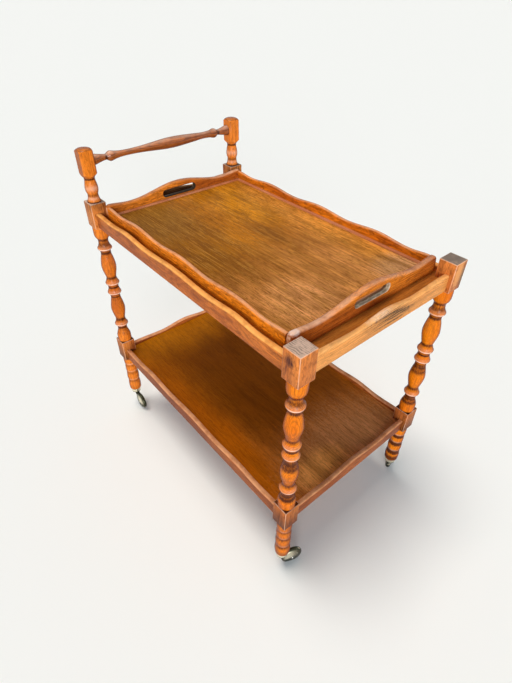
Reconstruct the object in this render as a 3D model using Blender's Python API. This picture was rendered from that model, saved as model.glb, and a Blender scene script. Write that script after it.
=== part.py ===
"""Serving cart: turned frame, push handle, two shelves, lift-off tray and four hooded casters.

Metres, +Z up. +X runs from the push handle to the front, the pusher's right is -Y, and the
origin is on the floor under the middle of the cart.
"""
import math

import bmesh
import bpy
from mathutils import Matrix, Vector

# Overall frame, between leg centres and above the floor
FRAME_LENGTH = 0.6915
FRAME_WIDTH = 0.4093
UPPER_BLOCK_TOP = 0.685
LOWER_BLOCK_TOP = 0.266

# Gap kept between touching pieces, overrun of cutters past a face, distance that counts as none
GAP = 0.0003
OVERRUN = 0.004
SAME_PLACE = 0.00001

# Square stock and its blocks
BLOCK_SIDE = 0.038
UPPER_BLOCK_HEIGHT = 0.064
LOWER_BLOCK_HEIGHT = 0.065
REAR_BLOCK_DROP = 0.003
BLOCK_ARRIS = 0.0008

# Spigot below the foot of a leg, inside the caster's socket
SPIGOT_RADIUS = 0.0113
SPIGOT_LENGTH = 0.014
STEM_BORE_TOP_MARGIN = 0.0015

# Head of a rear post, set round the axis of the handle
HEAD_SIDE = 0.032
HEAD_CONE_HEIGHT = 0.0118
HEAD_CORNER_HEIGHT = 0.0439
HEAD_AXIS_SHARE = 0.5535
HEAD_DOME_HEIGHT = 0.009

# Handle bar, its axis above the tops of the upper blocks
HANDLE_RISE = 0.089
HANDLE_RADIUS = 0.0128
HANDLE_SPIGOT_RADIUS = 0.0065
HANDLE_SPIGOT_LENGTH = 0.012

# Rails
RAIL_THICKNESS = 0.012
RAIL_INSET = 0.0086
UPPER_RAIL_HEIGHT = 0.035
LOWER_RAIL_HEIGHT = 0.032
RAIL_BOTTOM_RISE = 0.003
RAIL_ROUNDING = 0.003
LONG_RAIL_WAVE = 0.0026
END_RAIL_WAVE = 0.0040
TENON_SPACE = 0.0054
TENON_HEIGHT = 0.020
TENON_RISE = 0.005

# Shelf boards, their tops above the bottoms of the rails, and the cleats under them
UPPER_SHELF_RISE = 0.021
LOWER_SHELF_RISE = 0.022
SHELF_THICKNESS = 0.008
CLEAT_WIDTH = 0.012
CLEAT_HEIGHT = 0.011
CLEAT_END_SPACE = 0.015

# Tray, its ends clear of the blocks and its sides clear of the long rails
TRAY_END_SPACE = 0.01075
TRAY_SIDE_SPACE = 0.00605
TRAY_SIDE_SHIFT = 0.0025
TRAY_END_THICKNESS = 0.014
TRAY_SIDE_THICKNESS = 0.009
TRAY_END_LOW = 0.0305
TRAY_END_ARCH = 0.0190
TRAY_END_CORNER = 0.0055
TRAY_CORNER_RADIUS = 0.009
TRAY_SIDE_HEIGHT = 0.0308
TRAY_SIDE_WAVE = 0.0030
TRAY_END_ROUNDING = 0.0045
TRAY_SIDE_ROUNDING = 0.003
TRAY_BASE_RISE = 0.0035
TRAY_BASE_THICKNESS = 0.006
GROOVE_DEPTH = 0.004
SLOT_LENGTH = 0.096
SLOT_HEIGHT = 0.018
SLOT_RISE = 0.0172
BEAD_WIDTH = 0.006
BEAD_HEIGHT = 0.004

# Caster socket
SOCKET_WALL = 0.0026
SOCKET_FLOOR = 0.0037
SOCKET_RIM_HEIGHT = 0.0035
SOCKET_RIM_PROUD = 0.0006
SOCKET_RIM_SHARES = (0.33, 0.67)
SOCKET_BASE_RADIUS = 0.0090

# Caster fork: swivel stem, flange, arm and hood
STEM_RADIUS = 0.0032
STEM_RISE = 0.0090
FLANGE_RADIUS = 0.0085
FLANGE_HEIGHT = 0.0025
FLANGE_DROP = 0.0017
ARM_RADIUS = 0.0062
TRAIL_SHARE = 1.0
HOOD_SPACE = 0.0023
HOOD_HUB_SPACE = 0.0007
HOOD_WALL = 0.0015
HOOD_CUT_DROP = 0.0155
HOOD_CUT_ANGLE = 85

# Caster wheel and axle
WHEEL_RADIUS = 0.0242
WHEEL_WIDTH = 0.0100
WHEEL_HUB_PROUD = 0.0014
WHEEL_HUB_RADIUS = 0.0060
AXLE_RADIUS = 0.0024
AXLE_CLEARANCE = 0.0003
RIVET_RADIUS = 0.0038
RIVET_HEIGHT = 0.0010

# Corners of the cart: sign along X, sign along Y, heading of the caster in degrees
CORNERS = {
    "front_right": (1, -1, 72),
    "front_left": (1, 1, 117),
    "rear_right": (-1, -1, -2),
    "rear_left": (-1, 1, -40),
}

# Facets round turned pieces
TURNED_STEPS = 12
BAR_STEPS = 12
CASTER_STEPS = 12
AXLE_STEPS = 8
WAVE_STATIONS = 20
ARCH_STATIONS = 24
ARC_STEPS = 4
ROUNDING_SEGMENTS = 1
SMOOTH_ANGLE = 40

# Turnings of a leg, from the upper block down: share of the leg's clear length and the outline as
# (share of the turning's own length, share of the stock's half side)
COLLAR_SHARES = ((0, 0.93), (0.12, 0.99), (0.45, 0.99), (0.68, 0.88), (0.86, 0.71), (1, 0.66))
RING_SHARES = ((0, 0.66), (0.22, 0.71), (0.50, 0.93), (0.61, 0.93), (0.80, 0.69), (1, 0.66))
VASE_SHARES = ((0, 0.66), (0.10, 0.71), (0.28, 0.88), (0.48, 0.975), (0.60, 0.97), (0.76, 0.87),
               (0.92, 0.70), (1, 0.66))
CUP_SHARES = ((0, 0.66), (0.14, 0.71), (0.32, 0.86), (0.50, 0.98), (0.92, 0.99), (1, 0.95))
LEG_TURNING_SHARES = (
    (0.1155, COLLAR_SHARES), (0.0930, RING_SHARES), (0.2000, VASE_SHARES), (0.0873, RING_SHARES),
    (0.0845, RING_SHARES), (0.2084, VASE_SHARES), (0.0902, RING_SHARES), (0.1211, CUP_SHARES))

# Foot below the lower block, from the block down to the socket
FOOT_SHARES = ((0, 0.88), (0.10, 0.93), (0.20, 0.88), (0.25, 0.84), (0.34, 0.93), (0.43, 0.88),
               (0.465, 0.86), (0.58, 0.96), (0.69, 0.90), (0.72, 0.87), (0.86, 0.965),
               (0.97, 0.90), (1, 0.83))

# Spindle of a rear post between its block and the neck of its head, from the top down
SPINDLE_SHARES = ((0, 0.66), (0.06, 0.64), (0.14, 0.66), (0.27, 0.74), (0.42, 0.79), (0.55, 0.75),
                  (0.65, 0.66), (0.72, 0.65), (0.83, 0.69), (0.93, 0.78), (1, 0.87))

# Domed top of a head: (share of the corner's radius, share of the dome's height)
HEAD_DOME_SHARES = ((0, 1), (0.45, 0.95), (0.71, 0.75), (0.87, 0.45), (1, 0))

# Handle bar: (share of the half length, share of the bar's radius), right end to left end
BAR_END_SHARES = ((1, 0.985), (0.965, 0.90), (0.925, 0.74), (0.88, 0.60), (0.84, 0.52), (0.82, 0.53),
                  (0.795, 0.78), (0.77, 0.89), (0.735, 0.79), (0.69, 0.66))
BAR_RIGHT_BELLY_SHARES = ((0.62, 0.54), (0.50, 0.51), (0.34, 0.59), (0.21, 0.73), (0.10, 0.86))
BAR_LEFT_BELLY_SHARES = ((0, 0.97), (0.12, 1.0), (0.22, 0.95), (0.34, 0.85), (0.47, 0.72),
                         (0.58, 0.61))

# Wavy top edges: (share of the half length, share of the wave's height), from the middle out
LONG_RAIL_WAVE_SHARES = ((0, 1), (0.33, -1), (0.58, 1), (0.79, -1), (1, 0))
END_RAIL_WAVE_SHARES = ((0, 1), (0.43, -1), (0.94, 0.1), (1, 0))
TRAY_SIDE_WAVE_SHARES = ((0, 1), (0.285, -1), (0.57, 1), (0.83, -1), (1, 0.3))
TRAY_ARCH_SHARES = ((0, 1), (0.68, 0), (1, 0))
TRAY_CORNER_SHARES = ((0, 0), (0.68, 0), (1, 1))

# Arm of a fork, from its flange into the hood: (share of the trail ahead, share of the arm's
# drop, share of a right angle that the section leans), and the arm's end over the axle as a
# share of the hood's radius
ARM_SHARES = ((0, 0, 0), (0.03, 0.1875, 0.17), (0.17, 0.50, 0.50), (0.50, 1, 0.55))
ARM_END_SHARE = 0.5143

# Outer form of the hood and of the wheel, as (share of the half width, share of the radius)
HOOD_SHARES = ((1, 0), (1, 0.35), (0.90, 0.68), (0.62, 0.90), (0.28, 0.985))
WHEEL_SHARES = ((1, 0.45), (0.85, 0.78), (0.55, 0.95), (0.22, 1.0))


# Places worked out from the sizes
LEG_X = FRAME_LENGTH / 2
LEG_Y = FRAME_WIDTH / 2
STOCK_RADIUS = BLOCK_SIDE / 2
UPPER_BLOCK_BOTTOM = UPPER_BLOCK_TOP - UPPER_BLOCK_HEIGHT
LOWER_BLOCK_BOTTOM = LOWER_BLOCK_TOP - LOWER_BLOCK_HEIGHT
REAR_BLOCK_TOP = UPPER_BLOCK_TOP - REAR_BLOCK_DROP
HANDLE_AXIS = UPPER_BLOCK_TOP + HANDLE_RISE
HEAD_CORNER_BOTTOM = HANDLE_AXIS - HEAD_CORNER_HEIGHT * HEAD_AXIS_SHARE
HEAD_CORNER_TOP = HEAD_CORNER_BOTTOM + HEAD_CORNER_HEIGHT
HEAD_NECK = HEAD_CORNER_BOTTOM - HEAD_CONE_HEIGHT
HEAD_TOP = HEAD_CORNER_TOP + HEAD_DOME_HEIGHT
WHEEL_HUB_WIDTH = WHEEL_WIDTH + WHEEL_HUB_PROUD * 2
HOOD_RADIUS = WHEEL_RADIUS + HOOD_SPACE
HOOD_WIDTH = WHEEL_HUB_WIDTH + (HOOD_HUB_SPACE + HOOD_WALL) * 2
CASTER_TRAIL = HOOD_RADIUS * TRAIL_SHARE
FLANGE_TOP = WHEEL_RADIUS + HOOD_RADIUS - FLANGE_DROP
SOCKET_BOTTOM = FLANGE_TOP + GAP
SPIGOT_END = SOCKET_BOTTOM + SOCKET_FLOOR
FOOT_SHOULDER = SPIGOT_END + SPIGOT_LENGTH
STEM_TOP = FLANGE_TOP + STEM_RISE
STEM_BORE_TOP = STEM_TOP + STEM_BORE_TOP_MARGIN
TENON_LENGTH = BLOCK_SIDE - RAIL_INSET - RAIL_THICKNESS - TENON_SPACE
RAIL_OUTER_X = LEG_X + STOCK_RADIUS - RAIL_INSET
RAIL_OUTER_Y = LEG_Y + STOCK_RADIUS - RAIL_INSET
RAIL_INNER_Y = RAIL_OUTER_Y - RAIL_THICKNESS
TRAY_HALF_LENGTH = LEG_X - STOCK_RADIUS - TRAY_END_SPACE
TRAY_HALF_WIDTH = RAIL_INNER_Y - TRAY_SIDE_SPACE
UPPER_RAIL_BOTTOM = UPPER_BLOCK_BOTTOM + RAIL_BOTTOM_RISE
LOWER_RAIL_BOTTOM = LOWER_BLOCK_BOTTOM + RAIL_BOTTOM_RISE
UPPER_SHELF_TOP = UPPER_RAIL_BOTTOM + UPPER_SHELF_RISE
LOWER_SHELF_TOP = LOWER_RAIL_BOTTOM + LOWER_SHELF_RISE
TRAY_BOTTOM = UPPER_SHELF_TOP + GAP
TRAY_BASE_BOTTOM = TRAY_BOTTOM + TRAY_BASE_RISE
TRAY_BASE_TOP = TRAY_BASE_BOTTOM + TRAY_BASE_THICKNESS


# Materials

def material(name, colour, roughness, metallic=0.0):
    made = bpy.data.materials.new(name)
    made.use_nodes = True
    shader = made.node_tree.nodes["Principled BSDF"]
    shader.inputs["Base Color"].default_value = (*colour, 1)
    shader.inputs["Roughness"].default_value = roughness
    shader.inputs["Metallic"].default_value = metallic
    made.diffuse_color = (*colour, 1)
    return made


def link(name, mesh, finish):
    made = bpy.data.objects.new(name, mesh)
    bpy.context.collection.objects.link(made)
    if finish:
        mesh.materials.append(finish)
    return made


def close_mesh(shape, name):
    """Turn a bmesh into a mesh with its faces pointing out."""
    bmesh.ops.recalc_face_normals(shape, faces=shape.faces)
    mesh = bpy.data.meshes.new(name)
    shape.to_mesh(mesh)
    shape.free()
    return mesh


def as_guide(piece):
    """Keep a piece only as an operand of other pieces."""
    piece.hide_render = True
    piece.display_type = "WIRE"
    return piece


def combine(piece, operation, other):
    """Join, cut or intersect a piece with a guide."""
    step = piece.modifiers.new(f"{operation.lower()}_{other.name}", "BOOLEAN")
    step.operation = operation
    step.object = other
    step.solver = "EXACT"


def smooth(piece):
    piece.data.shade_smooth()
    piece.data.set_sharp_from_angle(angle=math.radians(SMOOTH_ANGLE))


# Shape makers

def turned(name, outline, finish, steps):
    """Solid of revolution about Z; the outline is (radius, height) from top to bottom."""
    shape = bmesh.new()
    points = [shape.verts.new((radius, 0, height)) for radius, height in outline]
    for upper, lower in zip(points, points[1:]):
        shape.edges.new((upper, lower))
    mesh = bpy.data.meshes.new(name)
    shape.to_mesh(mesh)
    shape.free()
    piece = link(name, mesh, finish)
    spin = piece.modifiers.new("spin", "SCREW")
    spin.axis = "Z"
    spin.angle = math.tau
    spin.screw_offset = 0
    spin.steps = steps
    spin.render_steps = steps
    spin.use_merge_vertices = True
    spin.merge_threshold = SAME_PLACE
    spin.use_smooth_shade = True
    return piece


def block(name, low, high, finish, arris=0):
    """Rectangular solid between two corners, with worn arrises where a width is given."""
    size = Vector(high) - Vector(low)
    shape = bmesh.new()
    bmesh.ops.create_cube(shape, size=1)
    bmesh.ops.scale(shape, vec=size, verts=shape.verts)
    bmesh.ops.translate(shape, vec=(Vector(high) + Vector(low)) / 2, verts=shape.verts)
    if arris:
        bmesh.ops.bevel(shape, geom=shape.edges, offset=arris, segments=1, affect="EDGES")
    return link(name, close_mesh(shape, name), finish)


def prism(name, outline, plane, start, end, finish, soft=None, rounding=0):
    """Extrude an outline, drawn in plane "xy", "xz" or "yz", between two places on the third axis.

    Edges whose two ends pass the test soft(u, v) get a rounding.
    """
    places = {"xy": (0, 1, 2), "xz": (0, 2, 1), "yz": (1, 2, 0)}[plane]

    def place(u, v, w):
        spot = [0.0, 0.0, 0.0]
        for axis, value in zip(places, (u, v, w)):
            spot[axis] = value
        return spot

    shape = bmesh.new()
    face = shape.faces.new([shape.verts.new(place(u, v, start)) for u, v in outline])
    grown = bmesh.ops.extrude_face_region(shape, geom=[face])
    moved = [part for part in grown["geom"] if isinstance(part, bmesh.types.BMVert)]
    bmesh.ops.translate(shape, vec=place(0, 0, end - start), verts=moved)
    if soft:
        weight = shape.edges.layers.float.new("bevel_weight_edge")
        for edge in shape.edges:
            first, second = (point.co for point in edge.verts)
            flat = abs(first[places[2]] - second[places[2]]) < SAME_PLACE
            if flat and all(soft(spot[places[0]], spot[places[1]]) for spot in (first, second)):
                edge[weight] = 1
    piece = link(name, close_mesh(shape, name), finish)
    if soft:
        round_over = piece.modifiers.new("round_over", "BEVEL")
        round_over.limit_method = "WEIGHT"
        round_over.width = rounding
        round_over.segments = ROUNDING_SEGMENTS
    return piece


def loft(name, rings, finish):
    """Skin closed rings of equally many points and cap both ends."""
    shape = bmesh.new()
    loops = [[shape.verts.new(spot) for spot in ring] for ring in rings]
    shape.faces.new(loops[0])
    shape.faces.new(loops[-1])
    for near, far in zip(loops, loops[1:]):
        for step, corner in enumerate(near):
            following = (step + 1) % len(near)
            shape.faces.new((corner, near[following], far[following], far[step]))
    return link(name, close_mesh(shape, name), finish)


def eased(table, place):
    """Value at a place between the crests and hollows of a table, with a soft swing between."""
    place = abs(place)
    for (start, low), (end, high) in zip(table, table[1:]):
        if place <= end:
            swing = (1 - math.cos(math.pi * (place - start) / (end - start))) / 2
            return low + (high - low) * swing
    return table[-1][1]


def spread(table, top, length, radius):
    """Outline points of one turning, from its share table, down from a height."""
    return [(radius * wide, top - length * down) for down, wide in table]


def joined(*runs):
    """String outline runs together and drop points that repeat."""
    points = []
    for run in runs:
        for spot in run:
            if not points or math.dist(spot, points[-1]) > SAME_PLACE:
                points.append(spot)
    return points


# Legs and posts

def leg_outline():
    """Turned outline from the upper block's middle down to the foot's spigot and its stem bore."""
    inside = STOCK_RADIUS * COLLAR_SHARES[-1][1]
    clear = UPPER_BLOCK_BOTTOM - LOWER_BLOCK_TOP
    runs = []
    top = UPPER_BLOCK_BOTTOM
    for share, table in LEG_TURNING_SHARES:
        runs.append(spread(table, top, clear * share, STOCK_RADIUS))
        top -= clear * share
    foot = spread(FOOT_SHARES, LOWER_BLOCK_BOTTOM, LOWER_BLOCK_BOTTOM - FOOT_SHOULDER,
                  STOCK_RADIUS)
    bore = STEM_RADIUS + GAP
    end = [(SPIGOT_RADIUS, FOOT_SHOULDER), (SPIGOT_RADIUS, SPIGOT_END), (bore, SPIGOT_END),
           (bore, STEM_BORE_TOP), (0, STEM_BORE_TOP)]
    return inside, joined(*runs, foot, end)


def add_blocks(post, name, block_top):
    """Join the two square blocks to a turned post."""
    x, y = post["place"]
    for label, top, bottom in (("upper", block_top, UPPER_BLOCK_BOTTOM),
                               ("lower", LOWER_BLOCK_TOP, LOWER_BLOCK_BOTTOM)):
        corner = (-STOCK_RADIUS, -STOCK_RADIUS, bottom)
        opposite = (STOCK_RADIUS, STOCK_RADIUS, top)
        guide = as_guide(block(f"{name}_{label}_block_guide", corner, opposite, None, BLOCK_ARRIS))
        guide.location = (x, y, 0)
        combine(post, "UNION", guide)


def rail_levels(tier):
    """Bottom and mean top of a tier's rails."""
    if tier == "upper":
        return UPPER_RAIL_BOTTOM, UPPER_RAIL_BOTTOM + UPPER_RAIL_HEIGHT
    return LOWER_RAIL_BOTTOM, LOWER_RAIL_BOTTOM + LOWER_RAIL_HEIGHT


def cut_mortises(post, name, side_x, side_y):
    """Pockets for the stub tenons of the long rail and of the end rail, in both blocks."""
    x, y = side_x * LEG_X, side_y * LEG_Y
    inner_x, inner_y = x - side_x * STOCK_RADIUS, y - side_y * STOCK_RADIUS
    depth = TENON_LENGTH + GAP
    for tier in ("upper", "lower"):
        low = rail_levels(tier)[0] + TENON_RISE - GAP
        high = low + TENON_HEIGHT + GAP * 2
        outer = side_y * (RAIL_OUTER_Y + GAP)
        inner = side_y * (RAIL_INNER_Y - GAP)
        pocket = block(f"{name}_{tier}_long_mortise_guide",
                       (min(inner_x - side_x * OVERRUN, inner_x + side_x * depth), min(outer, inner), low),
                       (max(inner_x - side_x * OVERRUN, inner_x + side_x * depth), max(outer, inner), high),
                       None)
        combine(post, "DIFFERENCE", as_guide(pocket))
        outer = side_x * (RAIL_OUTER_X + GAP)
        inner = side_x * (RAIL_OUTER_X - RAIL_THICKNESS - GAP)
        pocket = block(f"{name}_{tier}_end_mortise_guide",
                       (min(outer, inner), min(inner_y - side_y * OVERRUN, inner_y + side_y * depth), low),
                       (max(outer, inner), max(inner_y - side_y * OVERRUN, inner_y + side_y * depth), high),
                       None)
        combine(post, "DIFFERENCE", as_guide(pocket))


def add_leg(name, side_x, side_y, wood):
    """Front leg: turned between and below its two blocks."""
    inside, outline = leg_outline()
    core = UPPER_BLOCK_TOP - UPPER_BLOCK_HEIGHT / 2
    leg = turned(name, [(0, core), (inside, core)] + outline, wood, TURNED_STEPS)
    finish_post(leg, name, side_x, side_y, UPPER_BLOCK_TOP)
    return leg


def finish_post(post, name, side_x, side_y, block_top):
    post.location = (side_x * LEG_X, side_y * LEG_Y, 0)
    post["place"] = (side_x * LEG_X, side_y * LEG_Y)
    add_blocks(post, name, block_top)
    cut_mortises(post, name, side_x, side_y)
    smooth(post)


def add_head(name, side_x, side_y):
    """Square head of a rear post, domed above and coned below by turning."""
    x, y = side_x * LEG_X, side_y * LEG_Y
    half = HEAD_SIDE / 2
    corner_radius = half * math.sqrt(2)
    neck = STOCK_RADIUS * SPINDLE_SHARES[0][1]
    dome = [(corner_radius * out, HEAD_CORNER_TOP + HEAD_DOME_HEIGHT * rise)
            for out, rise in HEAD_DOME_SHARES]
    dome.append((corner_radius + GAP, HEAD_CORNER_TOP - GAP))
    cone = [(corner_radius + GAP, HEAD_CORNER_BOTTOM + GAP), (neck, HEAD_NECK), (0, HEAD_NECK)]
    envelope = as_guide(turned(f"{name}_head_envelope_guide", dome + cone, None, TURNED_STEPS * 2))
    envelope.location = (x, y, 0)
    head = block(f"{name}_head_guide", (-half, -half, HEAD_NECK - OVERRUN), (half, half, HEAD_TOP + OVERRUN),
                 None)
    head.location = (x, y, 0)
    combine(head, "INTERSECT", envelope)
    return as_guide(head)


def add_post(name, side_x, side_y, wood):
    """Rear post: a leg carried on through a spindle into its head, with a bore for the handle."""
    _, outline = leg_outline()
    rise = HEAD_NECK - REAR_BLOCK_TOP
    spindle = spread(SPINDLE_SHARES, HEAD_NECK, rise, STOCK_RADIUS)
    core = HEAD_NECK + HEAD_CONE_HEIGHT
    top = [(0, core), (spindle[0][0], core)]
    post = turned(name, joined(top, spindle, outline), wood, TURNED_STEPS)
    post.location = (side_x * LEG_X, side_y * LEG_Y, 0)
    combine(post, "UNION", add_head(name, side_x, side_y))
    finish_post(post, name, side_x, side_y, REAR_BLOCK_TOP)
    bore = HANDLE_SPIGOT_RADIUS + GAP
    depth = HANDLE_SPIGOT_LENGTH + GAP
    drill = turned(f"{name}_handle_bore_guide",
                   [(0, OVERRUN), (bore, OVERRUN), (bore, -depth), (0, -depth)], None, BAR_STEPS)
    drill.rotation_euler = (side_y * math.pi / 2, 0, 0)
    drill.location = (side_x * LEG_X, side_y * (LEG_Y - HEAD_SIDE / 2), HANDLE_AXIS)
    combine(post, "DIFFERENCE", as_guide(drill))
    return post


# Handle bar

def add_handle(name, wood):
    """Turned bar between the two heads, with a flare, a groove and a bell bead at each end."""
    half = LEG_Y - HEAD_SIDE / 2 - GAP
    end = half + HANDLE_SPIGOT_LENGTH
    right = [(HANDLE_RADIUS * wide, half * along) for along, wide in BAR_END_SHARES]
    right += [(HANDLE_RADIUS * wide, half * along) for along, wide in BAR_RIGHT_BELLY_SHARES]
    left = [(HANDLE_RADIUS * wide, -half * along) for along, wide in BAR_LEFT_BELLY_SHARES]
    left += [(HANDLE_RADIUS * wide, -half * along) for along, wide in reversed(BAR_END_SHARES)]
    outline = [(0, end), (HANDLE_SPIGOT_RADIUS, end), (HANDLE_SPIGOT_RADIUS, half)]
    outline += right + left
    outline += [(HANDLE_SPIGOT_RADIUS, -half), (HANDLE_SPIGOT_RADIUS, -end), (0, -end)]
    bar = turned(name, outline, wood, BAR_STEPS)
    bar.rotation_euler = (math.pi / 2, 0, 0)
    bar.location = (-LEG_X, 0, HANDLE_AXIS)
    smooth(bar)
    return bar


# Rails, shelves and cleats

def rail_outline(half, bottom, top, wave, wave_shares):
    """Rail seen from its face: straight below, wavy above, a stub tenon at each end."""
    stations = [half - 2 * half * step / WAVE_STATIONS for step in range(WAVE_STATIONS + 1)]
    crest = [(place, top + wave * eased(wave_shares, place / half)) for place in stations]
    low = bottom + TENON_RISE
    high = low + TENON_HEIGHT
    reach = half + TENON_LENGTH
    left_end = [(-half, high), (-reach, high), (-reach, low), (-half, low), (-half, bottom)]
    right_end = [(half, bottom), (half, low), (reach, low), (reach, high), (half, high)]
    return crest + left_end + right_end


def add_rails(tier, wood):
    """Four rails between the blocks of one tier."""
    bottom, top = rail_levels(tier)
    crest_level = bottom + TENON_RISE + TENON_HEIGHT + GAP

    def on_crest(_, height):
        return height > crest_level

    long_half = LEG_X - STOCK_RADIUS - GAP
    short_half = LEG_Y - STOCK_RADIUS - GAP
    long_outline = rail_outline(long_half, bottom, top, LONG_RAIL_WAVE, LONG_RAIL_WAVE_SHARES)
    short_outline = rail_outline(short_half, bottom, top, END_RAIL_WAVE, END_RAIL_WAVE_SHARES)
    for name, side in (("right", -1), ("left", 1)):
        outer = side * RAIL_OUTER_Y
        rail = prism(f"{tier}_{name}_rail", long_outline, "xz", outer, outer - side * RAIL_THICKNESS,
                     wood, on_crest, RAIL_ROUNDING)
        smooth(rail)
    for name, side in (("rear", -1), ("front", 1)):
        outer = side * RAIL_OUTER_X
        rail = prism(f"{tier}_{name}_rail", short_outline, "yz", outer, outer - side * RAIL_THICKNESS,
                     wood, on_crest, RAIL_ROUNDING)
        smooth(rail)


def add_shelf(tier, top, wood):
    """Board inside the rails, notched round the four blocks, on a cleat along each long rail."""
    reach_x = RAIL_OUTER_X - RAIL_THICKNESS - GAP
    reach_y = RAIL_INNER_Y - GAP
    notch_x = LEG_X - STOCK_RADIUS - GAP
    notch_y = LEG_Y - STOCK_RADIUS - GAP
    quarter = [(reach_x, notch_y), (notch_x, notch_y), (notch_x, reach_y)]
    outline = quarter + [(-u, v) for u, v in reversed(quarter)]
    outline += [(-u, -v) for u, v in quarter] + [(u, -v) for u, v in reversed(quarter)]
    prism(f"{tier}_shelf", outline, "xy", top - SHELF_THICKNESS, top, wood)
    cleat_top = top - SHELF_THICKNESS - GAP
    reach = LEG_X - STOCK_RADIUS - CLEAT_END_SPACE
    for name, side in (("right", -1), ("left", 1)):
        outer = side * (RAIL_INNER_Y - GAP)
        inner = outer - side * CLEAT_WIDTH
        block(f"{tier}_{name}_cleat", (-reach, min(outer, inner), cleat_top - CLEAT_HEIGHT),
              (reach, max(outer, inner), cleat_top), wood)


# Tray

def tray_end_outline():
    """Arched end board with lifted, rounded corners, seen from its face."""
    half = TRAY_HALF_WIDTH
    straight = half - TRAY_CORNER_RADIUS
    outline = []
    for step in range(ARCH_STATIONS + 1):
        place = straight - 2 * straight * step / ARCH_STATIONS
        rise = TRAY_END_ARCH * eased(TRAY_ARCH_SHARES, place / half)
        rise += TRAY_END_CORNER * eased(TRAY_CORNER_SHARES, place / half)
        outline.append((place, TRAY_BOTTOM + TRAY_END_LOW + rise))
    corner = []
    centre = outline[-1][1] - TRAY_CORNER_RADIUS
    for step in range(1, ARC_STEPS + 1):
        angle = math.pi / 2 * step / ARC_STEPS
        corner.append((straight + TRAY_CORNER_RADIUS * math.sin(angle),
                       centre + TRAY_CORNER_RADIUS * math.cos(angle)))
    left = [(-u, v) for u, v in corner]
    feet = [(-half, TRAY_BOTTOM), (half, TRAY_BOTTOM)]
    return outline + left + feet + list(reversed(corner))


def add_slot_cutter(name, low, high):
    """Stadium-shaped cutter for a hand slot."""
    radius = SLOT_HEIGHT / 2
    middle = TRAY_BOTTOM + SLOT_RISE + radius
    run = SLOT_LENGTH / 2 - radius
    outline = []
    for side, start in ((1, -math.pi / 2), (-1, math.pi / 2)):
        for step in range(ARC_STEPS + 1):
            angle = start + math.pi * step / ARC_STEPS
            outline.append((side * run + radius * math.cos(angle), middle + radius * math.sin(angle)))
    return as_guide(prism(name, outline, "yz", low, high, None))


def add_tray(wood, panel_wood):
    """Two arched ends, two wavy sides, a base panel housed in their grooves, and its beads."""
    inner_x = TRAY_HALF_LENGTH - TRAY_END_THICKNESS
    inner_y = TRAY_HALF_WIDTH - TRAY_SIDE_THICKNESS
    groove = block("tray_groove_guide",
                   (-inner_x - GROOVE_DEPTH, -inner_y - GROOVE_DEPTH, TRAY_BASE_BOTTOM - GAP),
                   (inner_x + GROOVE_DEPTH, inner_y + GROOVE_DEPTH, TRAY_BASE_TOP + GAP), None)
    as_guide(groove)
    groove.location.y = TRAY_SIDE_SHIFT
    for name, side in (("front", 1), ("rear", -1)):
        board = prism(f"tray_{name}_end", tray_end_outline(), "yz", side * inner_x,
                      side * TRAY_HALF_LENGTH, wood,
                      lambda place, height: height > TRAY_BOTTOM + TRAY_END_LOW / 2, TRAY_END_ROUNDING)
        combine(board, "DIFFERENCE", groove)
        slot = add_slot_cutter(f"tray_{name}_slot_guide", side * (inner_x - OVERRUN),
                               side * (TRAY_HALF_LENGTH + OVERRUN))
        combine(board, "DIFFERENCE", slot)
        board.location.y = slot.location.y = TRAY_SIDE_SHIFT
        smooth(board)
    side_half = inner_x - GAP
    top = TRAY_BOTTOM + TRAY_SIDE_HEIGHT
    stations = [side_half - 2 * side_half * step / WAVE_STATIONS for step in range(WAVE_STATIONS + 1)]
    outline = [(place, top + TRAY_SIDE_WAVE * eased(TRAY_SIDE_WAVE_SHARES, place / side_half))
               for place in stations]
    outline += [(-side_half, TRAY_BOTTOM), (side_half, TRAY_BOTTOM)]
    for name, side in (("right", -1), ("left", 1)):
        board = prism(f"tray_{name}_side", outline, "xz", side * TRAY_HALF_WIDTH, side * inner_y, wood,
                      lambda place, height: height > TRAY_BASE_TOP + GAP, TRAY_SIDE_ROUNDING)
        combine(board, "DIFFERENCE", groove)
        board.location.y = TRAY_SIDE_SHIFT
        smooth(board)
    reach = GROOVE_DEPTH - GAP
    base = block("tray_base", (-inner_x - reach, -inner_y - reach, TRAY_BASE_BOTTOM),
                 (inner_x + reach, inner_y + reach, TRAY_BASE_TOP), panel_wood)
    base.location.y = TRAY_SIDE_SHIFT
    add_beads(inner_x - GAP, inner_y - GAP, wood)


def add_beads(reach_x, reach_y, wood):
    """Quarter-round beads on the base panel, mitred at the corners of the tray."""
    low = TRAY_BASE_TOP + GAP
    section = [(0, low), (0, low + BEAD_HEIGHT)]
    for step in range(1, ARC_STEPS + 1):
        angle = math.pi / 2 * step / ARC_STEPS
        section.append((BEAD_WIDTH * math.sin(angle), low + BEAD_HEIGHT * math.cos(angle)))
    for name, side in (("right", -1), ("left", 1)):
        rings = [[(end * (reach_x - inward - GAP), side * (reach_y - inward), height)
                  for inward, height in section] for end in (-1, 1)]
        bead = loft(f"tray_{name}_bead", rings, wood)
        bead.location.y = TRAY_SIDE_SHIFT
        smooth(bead)
    for name, side in (("rear", -1), ("front", 1)):
        rings = [[(side * (reach_x - inward), end * (reach_y - inward - GAP), height)
                  for inward, height in section] for end in (-1, 1)]
        bead = loft(f"tray_{name}_bead", rings, wood)
        bead.location.y = TRAY_SIDE_SHIFT
        smooth(bead)


# Casters

def lens_outline(shares, half_width, radius):
    """Both faces of a lens from its upper pole to its lower pole."""
    upper = [(radius * wide, half_width * high) for high, wide in shares]
    return upper + [(wide, -high) for wide, high in reversed(upper)]


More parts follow.
